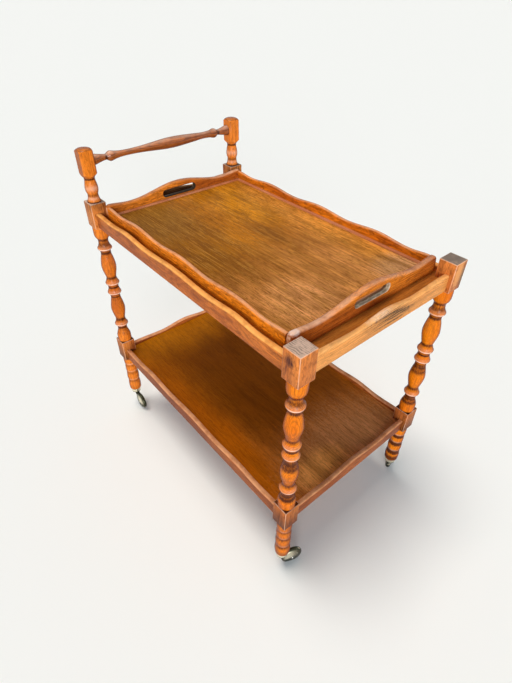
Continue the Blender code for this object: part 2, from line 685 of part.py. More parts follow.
def along_axle(piece, x, y, heading):
    """Lay a turned piece on the wheel's axle."""
    trail = Vector((math.cos(heading), math.sin(heading), 0)) * CASTER_TRAIL
    across = Vector((-math.sin(heading), math.cos(heading), 0))
    ahead = Vector((0, 0, 1))
    frame = Matrix((ahead, across.cross(ahead), across)).transposed().to_4x4()
    piece.matrix_world = Matrix.Translation((x + trail.x, y + trail.y, WHEEL_RADIUS)) @ frame


def add_socket(name, x, y, brass):
    """Cup that holds the foot's spigot, with a rolled rim and a hole for the stem."""
    outer = SPIGOT_RADIUS + GAP + SOCKET_WALL
    rim_top = FOOT_SHOULDER - GAP
    rim = outer + SOCKET_RIM_PROUD
    bore = SPIGOT_RADIUS + GAP
    roll = [(rim, rim_top - SOCKET_RIM_HEIGHT * down) for down in SOCKET_RIM_SHARES]
    outline = [(bore, rim_top), (outer, rim_top)] + roll
    outline += [(outer, rim_top - SOCKET_RIM_HEIGHT), (outer, SPIGOT_END),
                (SOCKET_BASE_RADIUS, SOCKET_BOTTOM), (STEM_RADIUS + GAP, SOCKET_BOTTOM),
                (STEM_RADIUS + GAP, SPIGOT_END - GAP), (bore, SPIGOT_END - GAP), (bore, rim_top)]
    socket = turned(name, outline, brass, CASTER_STEPS)
    socket.location = (x, y, 0)
    smooth(socket)


def add_fork(name, x, y, heading, brass):
    """Swivel stem, flange and arm, joined to a hood that is open below and behind."""
    stem = [(0, STEM_TOP), (STEM_RADIUS, STEM_TOP), (STEM_RADIUS, FLANGE_TOP), (FLANGE_RADIUS, FLANGE_TOP),
            (FLANGE_RADIUS, FLANGE_TOP - FLANGE_HEIGHT), (0, FLANGE_TOP - FLANGE_HEIGHT)]
    fork = turned(name, stem, brass, CASTER_STEPS)
    fork.location = (x, y, 0)
    hood_half = HOOD_WIDTH / 2
    outer = turned(f"{name}_hood_guide", lens_outline(HOOD_SHARES, hood_half, HOOD_RADIUS), None,
                   CASTER_STEPS)
    along_axle(outer, x, y, heading)
    reach = Vector((math.cos(heading), math.sin(heading), 0))
    across = Vector((-math.sin(heading), math.cos(heading), 0))
    up = Vector((0, 0, 1))
    start = Vector((x, y, FLANGE_TOP - FLANGE_HEIGHT / 2))
    drop = start.z - WHEEL_RADIUS - HOOD_RADIUS * ARM_END_SHARE
    rings = []
    for ahead, down, lean in ARM_SHARES:
        tilt = math.pi / 2 * lean
        flat = reach * math.cos(tilt) + up * math.sin(tilt)
        centre = start + reach * CASTER_TRAIL * ahead - up * drop * down
        rings.append([centre + flat * ARM_RADIUS * math.cos(math.tau * step / CASTER_STEPS)
                      + across * ARM_RADIUS * math.sin(math.tau * step / CASTER_STEPS)
                      for step in range(CASTER_STEPS)])
    arm = loft(f"{name}_arm_guide", rings, None)
    combine(fork, "UNION", as_guide(arm))
    combine(fork, "UNION", as_guide(outer))
    inner = turned(f"{name}_hollow_guide",
                   lens_outline(HOOD_SHARES, hood_half - HOOD_WALL, HOOD_RADIUS - HOOD_WALL), None,
                   CASTER_STEPS)
    along_axle(inner, x, y, heading)
    combine(fork, "DIFFERENCE", as_guide(inner))
    wide = HOOD_RADIUS * 2
    below = block(f"{name}_opening_guide", (-wide, -wide, -wide * 2), (wide, wide, -HOOD_CUT_DROP), None)
    lean = math.radians(90 - HOOD_CUT_ANGLE)
    spot = Vector((x, y, WHEEL_RADIUS)) + reach * CASTER_TRAIL
    below.matrix_world = (Matrix.Translation(spot) @ Matrix.Rotation(heading, 4, "Z")
                          @ Matrix.Rotation(lean, 4, "Y"))
    combine(fork, "DIFFERENCE", as_guide(below))
    hole = AXLE_RADIUS + AXLE_CLEARANCE
    drill = turned(f"{name}_axle_hole_guide",
                   [(0, HOOD_WIDTH), (hole, HOOD_WIDTH), (hole, -HOOD_WIDTH), (0, -HOOD_WIDTH)], None,
                   AXLE_STEPS)
    along_axle(drill, x, y, heading)
    combine(fork, "DIFFERENCE", as_guide(drill))
    smooth(fork)


def add_wheel(name, x, y, heading, brass):
    """Solid lens-shaped wheel with a flat hub and a bore."""
    half = WHEEL_WIDTH / 2
    hub = WHEEL_HUB_WIDTH / 2
    bore = AXLE_RADIUS + AXLE_CLEARANCE
    tyre = lens_outline(WHEEL_SHARES, half, WHEEL_RADIUS)
    outline = [(bore, hub), (WHEEL_HUB_RADIUS, hub)] + tyre
    outline += [(WHEEL_HUB_RADIUS, -hub), (bore, -hub), (bore, hub)]
    wheel = turned(name, outline, brass, CASTER_STEPS)
    along_axle(wheel, x, y, heading)
    smooth(wheel)


def add_axle(name, x, y, heading, brass):
    seat = HOOD_WIDTH / 2 + GAP
    outline = [(0, seat + RIVET_HEIGHT), (AXLE_RADIUS, seat + RIVET_HEIGHT), (RIVET_RADIUS, seat),
               (AXLE_RADIUS, seat), (AXLE_RADIUS, -seat), (RIVET_RADIUS, -seat),
               (AXLE_RADIUS, -seat - RIVET_HEIGHT), (0, -seat - RIVET_HEIGHT)]
    axle = turned(name, outline, brass, AXLE_STEPS)
    along_axle(axle, x, y, heading)
    smooth(axle)


def add_casters(brass, dark_brass):
    for corner, (side_x, side_y, degrees) in CORNERS.items():
        x, y = side_x * LEG_X, side_y * LEG_Y
        heading = math.radians(degrees)
        add_socket(f"{corner}_caster_socket", x, y, brass)
        add_fork(f"{corner}_caster_fork", x, y, heading, brass)
        add_wheel(f"{corner}_caster_wheel", x, y, heading, dark_brass)
        add_axle(f"{corner}_caster_axle", x, y, heading, dark_brass)


def clear_scene():
    for old in list(bpy.data.objects):
        bpy.data.objects.remove(old, do_unlink=True)


def main():
    clear_scene()
    turned_wood = material("turned_wood", (0.62, 0.22, 0.035), 0.38)
    rail_wood = material("rail_wood", (0.55, 0.22, 0.06), 0.42)
    panel_wood = material("panel_veneer", (0.33, 0.15, 0.03), 0.35)
    tray_wood = material("tray_wood", (0.55, 0.18, 0.03), 0.36)
    bar_wood = material("bar_wood", (0.40, 0.16, 0.06), 0.36)
    brass = material("aged_brass", (0.42, 0.38, 0.26), 0.34, 0.9)
    dark_brass = material("dark_brass", (0.16, 0.15, 0.11), 0.42, 0.9)
    for corner, (side_x, side_y, _) in CORNERS.items():
        if side_x > 0:
            add_leg(f"{corner}_leg", side_x, side_y, turned_wood)
        else:
            add_post(f"{corner}_post", side_x, side_y, turned_wood)
    add_handle("handle_bar", bar_wood)
    add_rails("upper", rail_wood)
    add_rails("lower", rail_wood)
    add_shelf("upper", UPPER_SHELF_TOP, panel_wood)
    add_shelf("lower", LOWER_SHELF_TOP, panel_wood)
    add_tray(tray_wood, panel_wood)
    add_casters(brass, dark_brass)


main()
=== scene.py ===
"""Serving cart in varnished turned wood: frame, lift-off tray, push handle and brass casters."""
import math

import bmesh
import bpy
import numpy as np
from mathutils import Matrix, Vector


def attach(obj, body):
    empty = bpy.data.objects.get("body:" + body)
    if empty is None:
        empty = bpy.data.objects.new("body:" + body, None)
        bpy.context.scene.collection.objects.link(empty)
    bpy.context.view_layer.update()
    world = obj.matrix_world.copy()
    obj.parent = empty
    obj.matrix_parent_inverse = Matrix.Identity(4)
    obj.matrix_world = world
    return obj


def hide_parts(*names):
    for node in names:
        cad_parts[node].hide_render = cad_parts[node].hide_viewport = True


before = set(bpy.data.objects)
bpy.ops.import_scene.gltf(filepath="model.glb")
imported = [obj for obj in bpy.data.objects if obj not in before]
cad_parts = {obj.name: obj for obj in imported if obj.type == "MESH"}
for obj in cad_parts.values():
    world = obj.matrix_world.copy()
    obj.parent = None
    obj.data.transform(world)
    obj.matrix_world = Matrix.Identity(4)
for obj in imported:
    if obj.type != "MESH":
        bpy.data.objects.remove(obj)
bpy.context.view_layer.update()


# Front legs. Each is one square post of stained softwood, turned between and below its two square
# blocks: a collar, five rings, two vases and a cup, then a foot of three bobbins. Stain has
# gathered in the hollows, deepened with painted shade under the rings and in the grooves, the
# arrises of the blocks are rubbed pale, and the edges of the rings carry painted highlights.

LEG_X = 0.34575
LEG_Y = 0.20465
UPPER_BLOCK = (0.621, 0.685)
LOWER_BLOCK = (0.201, 0.266)
BLOCK_HALF = 0.019
ARRIS = 0.0016
CLOSE = 0.00001
LATHE_STEPS = 56
UPPER_TURNINGS = (
    (0.6210, 0.0176), (0.6160, 0.0189), (0.6010, 0.0189), (0.5930, 0.0172), (0.5870, 0.0136),
    (0.5800, 0.0124), (0.5730, 0.0132), (0.5670, 0.0156), (0.5632, 0.0177), (0.5618, 0.0179),
    (0.5600, 0.0176), (0.5570, 0.0152), (0.5540, 0.0132), (0.5470, 0.0128), (0.5410, 0.0136),
    (0.5330, 0.0156), (0.5230, 0.0174), (0.5130, 0.0185), (0.5070, 0.0185), (0.4990, 0.0176),
    (0.4890, 0.0154), (0.4810, 0.0136), (0.4760, 0.0128), (0.4710, 0.0138), (0.4650, 0.0158),
    (0.4617, 0.0176), (0.4603, 0.0178), (0.4580, 0.0175), (0.4550, 0.0154), (0.4520, 0.0138),
    (0.4460, 0.0135), (0.4410, 0.0142), (0.4350, 0.0162), (0.4317, 0.0176), (0.4303, 0.0177),
    (0.4285, 0.0174), (0.4255, 0.0150), (0.4225, 0.0132), (0.4150, 0.0127), (0.4090, 0.0134),
    (0.4000, 0.0154), (0.3900, 0.0173), (0.3810, 0.0185), (0.3750, 0.0185), (0.3670, 0.0176),
    (0.3570, 0.0156), (0.3480, 0.0136), (0.3420, 0.0129), (0.3360, 0.0138), (0.3300, 0.0159),
    (0.3267, 0.0178), (0.3253, 0.0180), (0.3230, 0.0177), (0.3200, 0.0156), (0.3170, 0.0134),
    (0.3090, 0.0128), (0.3030, 0.0136), (0.2950, 0.0162), (0.2870, 0.0185), (0.2810, 0.0190),
    (0.2690, 0.0189), (0.2660, 0.0184))
FOOT_TURNINGS = (
    (0.2010, 0.0170), (0.1930, 0.0175), (0.1800, 0.0172), (0.1712, 0.0165), (0.1690, 0.0159),
    (0.1668, 0.0164), (0.1550, 0.0172), (0.1440, 0.0168), (0.1422, 0.0165), (0.1400, 0.0161),
    (0.1378, 0.0166), (0.1230, 0.0178), (0.1090, 0.0170), (0.1072, 0.0166), (0.1050, 0.0161),
    (0.1028, 0.0166), (0.0870, 0.0180), (0.0730, 0.0174), (0.0690, 0.0168), (0.0670, 0.0158),
    (0.0670, 0.0113), (0.0530, 0.0113))
# Heights where stain and painted shade lie darkest on a leg, each with its reach and its depth
LEG_STAIN_AND_SHADE = (
    (0.5860, 0.006, 0.80), (0.5740, 0.010, 0.66), (0.5500, 0.006, 0.85), (0.4770, 0.006, 0.75),
    (0.4480, 0.004, 0.95), (0.4180, 0.004, 0.80), (0.3430, 0.008, 0.75), (0.3140, 0.005, 0.90),
    (0.2665, 0.002, 0.90), (0.2005, 0.005, 0.90))
# The same for the lower vase and cup, and for the foot, where the legs differ in depth
VASE_STAIN_AND_SHADE = (
    (0.4110, 0.009, 0.95), (0.3990, 0.009, 0.80), (0.3070, 0.006, 1.00), (0.2970, 0.006, 0.92))
FOOT_STAIN_AND_SHADE = (
    (0.1690, 0.007, 0.95), (0.1395, 0.008, 1.00), (0.1045, 0.009, 1.05), (0.0790, 0.012, 0.72),
    (0.0680, 0.004, 0.90))
# How deep the stain and painted shade lie on the vases and the foot at each corner
STAIN_AND_SHADE_DEPTHS = {"front_right": (1.0, 0.62), "front_left": (0.85, 1.25),
                "rear_right": (0.45, 0.45), "rear_left": (0.60, 0.70)}
# Heights painted pale, each with its reach and its share: painted highlights on the edges of the
# rings, the bobbins and the swellings of the rear spindles
LEG_HIGHLIGHTS = (
    (0.5610, 0.0018, 0.95), (0.4597, 0.0017, 0.90), (0.4297, 0.0017, 0.90), (0.3247, 0.0017, 0.90),
    (0.5665, 0.0030, 0.14), (0.4645, 0.0028, 0.14), (0.4348, 0.0028, 0.14), (0.3298, 0.0030, 0.16),
    (0.1760, 0.0020, 0.30), (0.1470, 0.0020, 0.30), (0.1120, 0.0020, 0.30), (0.7160, 0.0060, 0.36),
    (0.6920, 0.0030, 0.36))
# How pale the arrises of the blocks are rubbed
ARRIS_WEAR = 0.52


def work_on(piece):
    """Make a piece the only one that the operators act on."""
    bpy.ops.object.select_all(action="DESELECT")
    piece.select_set(True)
    bpy.context.view_layer.objects.active = piece


def begin(name, add, **settings):
    """Start a piece from a primitive, with nothing else selected."""
    bpy.ops.object.select_all(action="DESELECT")
    add(**settings)
    piece = bpy.context.object
    piece.name = piece.data.name = name
    return piece


def edit_all():
    """Enter edit mode with all of the piece in hand selected."""
    bpy.ops.object.mode_set(mode="EDIT")
    bpy.ops.mesh.select_all(action="SELECT")


def pull(step):
    """Extrude what is selected by a step."""
    bpy.ops.mesh.extrude_region_move(TRANSFORM_OT_translate={"value": step})


def draw_line(name, spots):
    """Start a piece as a line drawn from spot to spot. It is left in edit mode, all selected."""
    piece = begin(name, bpy.ops.mesh.primitive_plane_add, size=BLOCK_HALF, location=spots[0])
    bpy.ops.object.transform_apply()
    bpy.context.tool_settings.mesh_select_mode = (True, False, False)
    edit_all()
    bpy.ops.mesh.merge(type="CENTER")
    for near, far in zip(spots, spots[1:]):
        pull(Vector(far) - Vector(near))
    bpy.ops.mesh.select_all(action="SELECT")
    return piece


def close_shape():
    """Merge seams and poles of the piece in hand, turn its faces out and leave edit mode."""
    bpy.context.tool_settings.mesh_select_mode = (True, False, False)
    bpy.ops.mesh.select_all(action="SELECT")
    bpy.ops.mesh.remove_doubles(threshold=CLOSE)
    bpy.ops.mesh.normals_make_consistent(inside=False)
    bpy.ops.object.mode_set(mode="OBJECT")


def flow(profile, parts=3):
    """Run a soft curve through the points of a turned profile."""
    points = [Vector(spot) for spot in profile]
    widest = max(spot[1] for spot in profile)
    runs = [points[0]]
    for place in range(len(points) - 1):
        before = points[max(place - 1, 0)]
        start, end = points[place], points[place + 1]
        after = points[min(place + 2, len(points) - 1)]
        for part in range(1, parts + 1):
            t = part / parts
            curve = (start * 2 + (end - before) * t
                     + (before * 2 - start * 5 + end * 4 - after) * t ** 2
                     + (start * 3 - before - end * 3 + after) * t ** 3) / 2
            runs.append(curve)
    return [(height, min(max(radius, 0), widest)) for height, radius in runs]


def turn(name, profile, foot=(0, 0, 0), axis=(0, 0, 1), steps=LATHE_STEPS):
    """Turn a profile of (place along the axis, radius), its ends closed, on a lathe."""
    along = Vector(axis)
    out = Vector((0, 0, 1)) if along.x or along.y else Vector((1, 0, 0))
    closed = [(profile[0][0], 0), *profile, (profile[-1][0], 0)]
    spots = [Vector(foot) + along * place + out * radius for place, radius in closed]
    piece = draw_line(name, spots)
    bpy.ops.mesh.spin(steps=steps, angle=math.tau, center=foot, axis=axis, use_auto_merge=True)
    close_shape()
    return piece


def saw_block(name, low, high, arris, segments=3):
    """Saw a square block between two corners and rub its arrises round."""
    middle = (Vector(low) + Vector(high)) / 2
    piece = begin(name, bpy.ops.mesh.primitive_cube_add, size=1, location=middle)
    piece.scale = Vector(high) - Vector(low)
    bpy.ops.object.transform_apply()
    edit_all()
    bpy.ops.mesh.bevel(offset=arris, segments=segments, affect="EDGES")
    close_shape()
    return piece


def shape_with(piece, kind, **settings):
    """Shape a piece with a modifier, applied at once."""
    work_on(piece)
    step = piece.modifiers.new(kind.lower(), kind)
    for setting, value in settings.items():
        setattr(step, setting, value)
    bpy.ops.object.modifier_apply(modifier=step.name)


def combine(piece, operation, other):
    """Glue, cut or trim a piece with another, which is used up."""
    shape_with(piece, "BOOLEAN", operation=operation, solver="EXACT", object=other)
    bpy.data.objects.remove(other, do_unlink=True)


def copy_piece(piece, name, place, turned=0):
    """Copy a piece with a mesh of its own, turned about the upright axis and moved to its place."""
    work_on(piece)
    bpy.ops.object.duplicate()
    made = bpy.context.object
    made.name = made.data.name = name
    made.rotation_euler = (0, 0, turned)
    made.location = place
    bpy.ops.object.transform_apply()
    return made


def smooth(piece, angle=38):
    work_on(piece)
    bpy.ops.object.shade_smooth_by_angle(angle=math.radians(angle))


def paint(piece, name, rule):
    """Give every point of a piece a value that its material reads."""
    layer = piece.data.attributes.get(name) or piece.data.attributes.new(name, "FLOAT", "POINT")
    values = np.array([rule(spot.co) for spot in piece.data.vertices], np.float32)
    layer.data.foreach_set("value", values)


def fit(piece, body, node, slot, *finishes):
    """Finish a piece, and ride it on its body in place of its CAD node. The slot is not used."""
    if finishes:
        smooth(piece)
    for finish in finishes:
        piece.data.materials.append(finish)
    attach(piece, body)
    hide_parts(node)


def bell(value, middle, reach):
    """Bell curve that is one in the middle."""
    return math.exp(-((value - middle) / reach) ** 2)


def hold(value):
    """Value held from nought to one."""
    return min(1.0, max(0.0, value))


def leg_stain_and_shade(corner):
    """Rule for stain and painted shade on a leg, as deep as they lie at that corner of the cart."""
    table = LEG_STAIN_AND_SHADE + (SPINDLE_STAIN_AND_SHADE if corner.startswith("rear") else ())
    for rows, share in zip((VASE_STAIN_AND_SHADE, FOOT_STAIN_AND_SHADE), STAIN_AND_SHADE_DEPTHS[corner]):
        table += tuple((height, reach, depth * share) for height, reach, depth in rows)
    return lambda spot: max(depth * bell(spot.z, height, reach) for height, reach, depth in table)


def leg_wear_and_highlights(centre, blocks):
    """Rule for wear on the arrises of the blocks, and painted highlights on the edges of the rings.
    """
    def rule(spot):
        for low, high in blocks:
            if low - CLOSE < spot.z < high + CLOSE:
                nearest = sorted((BLOCK_HALF - abs(spot.x - centre[0]),
                                  BLOCK_HALF - abs(spot.y - centre[1]),
                                  min(abs(spot.z - low), abs(high - spot.z))))
                return ARRIS_WEAR if nearest[1] < ARRIS * 0.9 else 0
        return max(share * bell(spot.z, height, reach) for height, reach, share in LEG_HIGHLIGHTS)
    return rule


def feed(socket, value):
    """Put a number, a colour or another node's output into a socket."""
    if isinstance(value, bpy.types.NodeSocket):
        socket.id_data.links.new(value, socket)
    elif socket.type == "RGBA":
        socket.default_value = (*value, 1)
    else:
        socket.default_value = value


def add_node(tree, kind, inputs=(), **settings):
    """Add a node with its settings, and feed its inputs by their labels or places."""
    made = tree.nodes.new(kind)
    for name, value in settings.items():
        setattr(made, name, value)
    for label, value in dict(inputs).items():
        feed(made.inputs[label], value)
    return made


def calc(operation, first, second=0.0, clamp=False):
    """Work out a value from a node's output and a number or another output."""
    made = add_node(first.id_data, "ShaderNodeMath", {0: first, 1: second},
                    operation=operation, use_clamp=clamp)
    return made.outputs[0]


def plus(first, second):
    return calc("ADD", first, second)


def minus(first, second):
    return calc("SUBTRACT", first, second)


def times(first, second):
    return calc("MULTIPLY", first, second)


def vector_calc(operation, first, second=(0, 0, 0)):
    made = add_node(first.id_data, "ShaderNodeVectorMath", {0: first, 1: second},
                    operation=operation)
    return made.outputs["Value" if operation == "LENGTH" else "Vector"]


def axis_of(vector, axis):
    return add_node(vector.id_data, "ShaderNodeSeparateXYZ", {0: vector}).outputs[axis]


def step_up(value, low, high, start=0.0, end=1.0):
    """Soft step of a value from start, at low, to end, at high."""
    made = add_node(value.id_data, "ShaderNodeMapRange",
                    {"Value": value, "From Min": low, "From Max": high, "To Min": start,
                     "To Max": end}, interpolation_type="SMOOTHSTEP")
    return made.outputs["Result"]


def tint(share, first, second):
    """Colour that goes from first to second by a share."""
    made = add_node(share.id_data, "ShaderNodeMix", {0: share, 6: first, 7: second},
                    data_type="RGBA")
    return made.outputs[2]


def lay(colour, *coats):
    """Lay coats over a colour, each with the mask that says where and the coat's shade."""
    for mask, shade in coats:
        colour = tint(mask, colour, shade)
    return colour


def stretched_noise(where, stretch, detail=3.0, roughness=0.55):
    """Noise whose patches are stretched, in patches per metre along each axis."""
    tree = where.id_data
    place = add_node(tree, "ShaderNodeMapping", {"Vector": where, "Scale": stretch}).outputs[0]
    made = add_node(tree, "ShaderNodeTexNoise", {"Vector": place, "Scale": 1.0,
                                                 "Detail": detail, "Roughness": roughness})
    return made.outputs["Fac"]


# Figure of timber: the stretch, detail and roughness of each noise, and where it starts and is full
TIMBER_FIGURE = {
    "Streaks": ((190, 190, 6), 4, 0.60, (0.42, 0.72)),
    "Lines": ((400, 400, 11), 3, 0.60, (0.45, 0.55)),
    "Mottles": ((170, 170, 75), 4, 0.70, (0.48, 0.64)),
    "Fibres": ((780, 780, 26), 3, 0.60, None),
    "Pores": ((1500, 1500, 70), 2, 0.55, (0.60, 0.74)),
    "Clouds": ((13, 13, 4), 3, 0.55, None)}


def timber_group():
    """Figure of timber with its grain along Z: its rings, and the masks of the table above."""
    tree = bpy.data.node_groups.new("timber", "ShaderNodeTree")
    for label, kind in (("Place", "Vector"), ("Pith", "Vector"), ("Ring gap", "Float"),
                        ("Wander", "Float")):
        tree.interface.new_socket(label, in_out="INPUT", socket_type=f"NodeSocket{kind}")
    for label in ("Rings", *TIMBER_FIGURE):
        tree.interface.new_socket(label, in_out="OUTPUT", socket_type="NodeSocketFloat")
    enter, leave = add_node(tree, "NodeGroupInput").outputs, add_node(tree, "NodeGroupOutput")
    place = enter["Place"]
    across = vector_calc("MULTIPLY", vector_calc("SUBTRACT", place, enter["Pith"]), (1, 1, 0))
    drift = minus(stretched_noise(place, (14, 14, 3.5), 2), 0.5)
    shiver = minus(stretched_noise(place, (120, 120, 30), 3), 0.5)
    drift = times(plus(drift, times(shiver, 0.12)), enter["Wander"])
    drifted = plus(vector_calc("LENGTH", across), drift)
    turns = calc("FRACT", calc("DIVIDE", drifted, enter["Ring gap"]))
    late = times(step_up(turns, 0.30, 0.88), step_up(turns, 0.90, 1.0, 1.0, 0.0))
    feed(leave.inputs["Rings"], late)
    for label, (stretch, detail, roughness, span) in TIMBER_FIGURE.items():
        mask = stretched_noise(place, stretch, detail, roughness)
        feed(leave.inputs[label], step_up(mask, *span) if span else mask)
    return tree


timber = timber_group()
UPRIGHT = (0, 0, 0)
LENGTHWISE = (0, -math.pi / 2, 0)
CROSSWISE = (math.pi / 2, 0, 0)


def start_material(name, rough, metallic=0.0, specular=0.5, coat=0.0, coat_rough=0.1):
    made = bpy.data.materials.new(name)
    made.use_nodes = True
    shader = made.node_tree.nodes["Principled BSDF"]
    for label, value in (("Roughness", rough), ("Metallic", metallic), ("Coat Weight", coat),
                         ("Specular IOR Level", specular), ("Coat Roughness", coat_rough)):
        feed(shader.inputs[label], value)
    return made, made.node_tree, shader


def object_place(tree):
    return add_node(tree, "ShaderNodeTexCoord").outputs["Object"]


def figure(tree, grain, pith, gap, wander):
    """Place the timber group in a material, with its grain turned to lie along the piece."""
    where = object_place(tree)
    turned = add_node(tree, "ShaderNodeMapping", {"Vector": where, "Rotation": grain}).outputs[0]
    made = add_node(tree, "ShaderNodeGroup", {"Place": turned, "Pith": pith, "Ring gap": gap,
                                              "Wander": wander}, node_tree=timber)
    return made.outputs, where


def value_of(tree, name):
    return add_node(tree, "ShaderNodeAttribute", attribute_name=name).outputs["Fac"]


def blotch(where, centre, reach, ragged=0.6):
    """Ragged patch that is one in the middle and nought beyond its reach along each axis."""
    away = vector_calc("DIVIDE", vector_calc("SUBTRACT", where, centre), reach)
    torn = minus(stretched_noise(where, (160, 160, 160), 4, 0.65), 0.5)
    spread = plus(vector_calc("LENGTH", away), times(torn, ragged * 2))
    return step_up(spread, 0.35, 1.05, 1.0, 0.0)


def surface(shader, colour, height, strength, depth):
    """Give a material its colour, and a relief from a height."""
    bump = add_node(shader.id_data, "ShaderNodeBump",
                    {"Height": height, "Strength": strength, "Distance": depth})
    feed(shader.inputs["Normal"], bump.outputs[0])
    feed(shader.inputs["Base Color"], colour)


STAIN_AND_SHADE_COLOUR = (0.046, 0.009, 0.003)


def varnished_wood(name, grain, pith, gap, wander, light, deep, dark, worn, rough, coat, rings,
                   streaks, mottles=0.2, clouds=(0.36, 0.66), rim=0.55, blotches=()):
    """Stained and varnished timber: light to deep in clouds, dark figure, stain and worn edges,
    with painted shade and painted highlights.

    A painted shade darkens the colour where the surface turns away from the view. Blotches are
    (centre, reach, colour, share of the blotch that is left between the lines of the grain)."""
    made, tree, shader = start_material(name, rough, specular=0.06, coat=coat, coat_rough=0.12)
    grown, where = figure(tree, grain, pith, gap, wander)
    colour = tint(step_up(grown["Clouds"], *clouds), light, deep)
    fleck = step_up(grown["Fibres"], 0.36, 0.62, 0.26, 0.0)
    for mask in (times(grown["Rings"], rings), times(grown["Streaks"], streaks), fleck,
                 times(grown["Mottles"], mottles), times(grown["Pores"], 0.55)):
        colour = tint(mask, colour, dark)
    for centre, reach, shade, between in blotches:
        lines = step_up(grown["Lines"], 0.0, 1.0, between, 1.0)
        colour = tint(times(blotch(where, centre, reach), lines), colour, shade)
    # Stain, with painted shade under the rings and in the grooves, read from its painted attribute
    ragged = plus(value_of(tree, "stain_and_shade"), times(minus(grown["Fibres"], 0.5), 1.3))
    stained_and_shaded = times(step_up(ragged, 0.18, 0.85), 0.93)
    patchy = step_up(stretched_noise(where, (42, 42, 42), 4, 0.6), 0.32, 0.62, 0.50, 1.0)
    # Pale rubbed edges and painted highlights, read from their painted attribute
    rubbed_and_highlit = times(value_of(tree, "worn"), patchy)
    edge_on = add_node(tree, "ShaderNodeLayerWeight", {"Blend": 0.5}).outputs["Facing"]
    # Painted shade: darker towards the dark tone where the surface turns away from the view
    rim_shade = step_up(edge_on, 0.34, 0.90, 0.0, rim)
    colour = lay(colour, (stained_and_shaded, STAIN_AND_SHADE_COLOUR), (rubbed_and_highlit, worn), (rim_shade, dark))
    feed(shader.inputs["Coat Weight"], step_up(edge_on, 0.30, 0.85, coat, 0.0))
    lift = times(minus(grown["Fibres"], 0.5), 0.25)
    feed(shader.inputs["Roughness"], calc("ADD", lift, rough, clamp=True))
    height = minus(times(grown["Fibres"], 0.6), grown["Pores"])
    surface(shader, colour, minus(height, times(grown["Rings"], 0.4)), 0.30, 0.0004)
    return made


turned_woods = {
    end: varnished_wood(
        f"{end}_turned_wood", UPRIGHT, (0.02, 0.03, 0), 0.0016, 0.022, light=light,
        deep=deep, dark=(0.15, 0.024, 0.004), worn=(0.97, 0.66, 0.50),
        rough=0.24, coat=0.12, rings=0.30, streaks=0.30, rim=0.90, mottles=mottles,
        clouds=(0.42, 0.72))
    for end, light, deep, mottles in (("front", (0.98, 0.265, 0.006), (0.82, 0.165, 0.005), 0.20),
                                      ("rear", (0.94, 0.260, 0.024), (0.66, 0.140, 0.012), 0.34))}
# Blotches of the blocks: a knot and its trail, the grey far corner and the golden face beside it
NEAR_KNOT = ((0.3430, -0.2236, 0.6650), (0.0120, 0.012, 0.0135), (0.075, 0.020, 0.014), 0.7)
NEAR_TRAIL = ((0.3380, -0.2236, 0.6480), (0.0045, 0.012, 0.018), (0.20, 0.050, 0.018), 0.3)
GREY_CORNER = ((0.3655, 0.2260, 0.6440), (0.016, 0.0190, 0.055), (0.17, 0.130, 0.062), 0.6)
GOLDEN_FACE = ((0.3650, 0.2020, 0.6620), (0.004, 0.0200, 0.045), (0.82, 0.350, 0.110), 0.9)
block_wood = varnished_wood(
    "block_wood", UPRIGHT, (0.30, 0.60, 0), 0.0024, 0.045, light=(0.98, 0.335, 0.066),
    deep=(0.58, 0.150, 0.032), dark=(0.13, 0.026, 0.010), worn=(0.94, 0.58, 0.40),
    rough=0.40, coat=0.03, rings=0.20, streaks=0.34, mottles=0.52, rim=0.35,
    blotches=(NEAR_KNOT, NEAR_TRAIL, GOLDEN_FACE, GREY_CORNER))


def bare_end_grain():
    """Sawn top of a leg, its varnish gone: speckled rings, grey and dark on the left legs."""
    made, tree, shader = start_material("end_grain", 0.6, specular=0.3)
    grown, where = figure(tree, UPRIGHT, (0.30, 0.60, 0), 0.0042, 0.034)
    cloud = step_up(grown["Clouds"], 0.38, 0.62, 0.0, 0.6)
    broken = step_up(stretched_noise(where, (90, 90, 90), 3), 0.40, 0.58, 0.10, 0.80)
    speck = step_up(stretched_noise(where, (90, 420, 420), 3), 0.40, 0.66)
    on_left = step_up(axis_of(where, "Y"), -0.05, 0.05)
    colour = lay(tint(on_left, (0.64, 0.43, 0.32), (0.085, 0.066, 0.050)),
                 (cloud, (0.42, 0.27, 0.19)),
                 (times(grown["Rings"], broken), (0.10, 0.075, 0.060)),
                 (times(speck, 0.30), (0.14, 0.10, 0.08)),
                 (value_of(tree, "worn"), (0.86, 0.56, 0.38)))
    surface(shader, colour, grown["Rings"], 0.35, 0.0005)
    return made


end_grain = bare_end_grain()


def turn_leg(name, blocks, core):
    """Turn a post down from inside its upper block, round the upright axis."""
    upper, lower = blocks
    inside = UPPER_TURNINGS[4][1]
    middle = (upper[0] + upper[1]) / 2
    profile = [*core, (middle, inside), (upper[0] + ARRIS, inside)]
    profile += [*flow(UPPER_TURNINGS), (lower[1] - ARRIS, inside), (lower[0] + ARRIS, inside)]
    profile += flow(FOOT_TURNINGS[:-2]) + list(FOOT_TURNINGS[-2:])
    post = turn(name, profile)
    for low, high in blocks:
        combine(post, "UNION", saw_block(f"{name}_square", (-BLOCK_HALF, -BLOCK_HALF, low),
                                         (BLOCK_HALF, BLOCK_HALF, high), ARRIS))
    return post


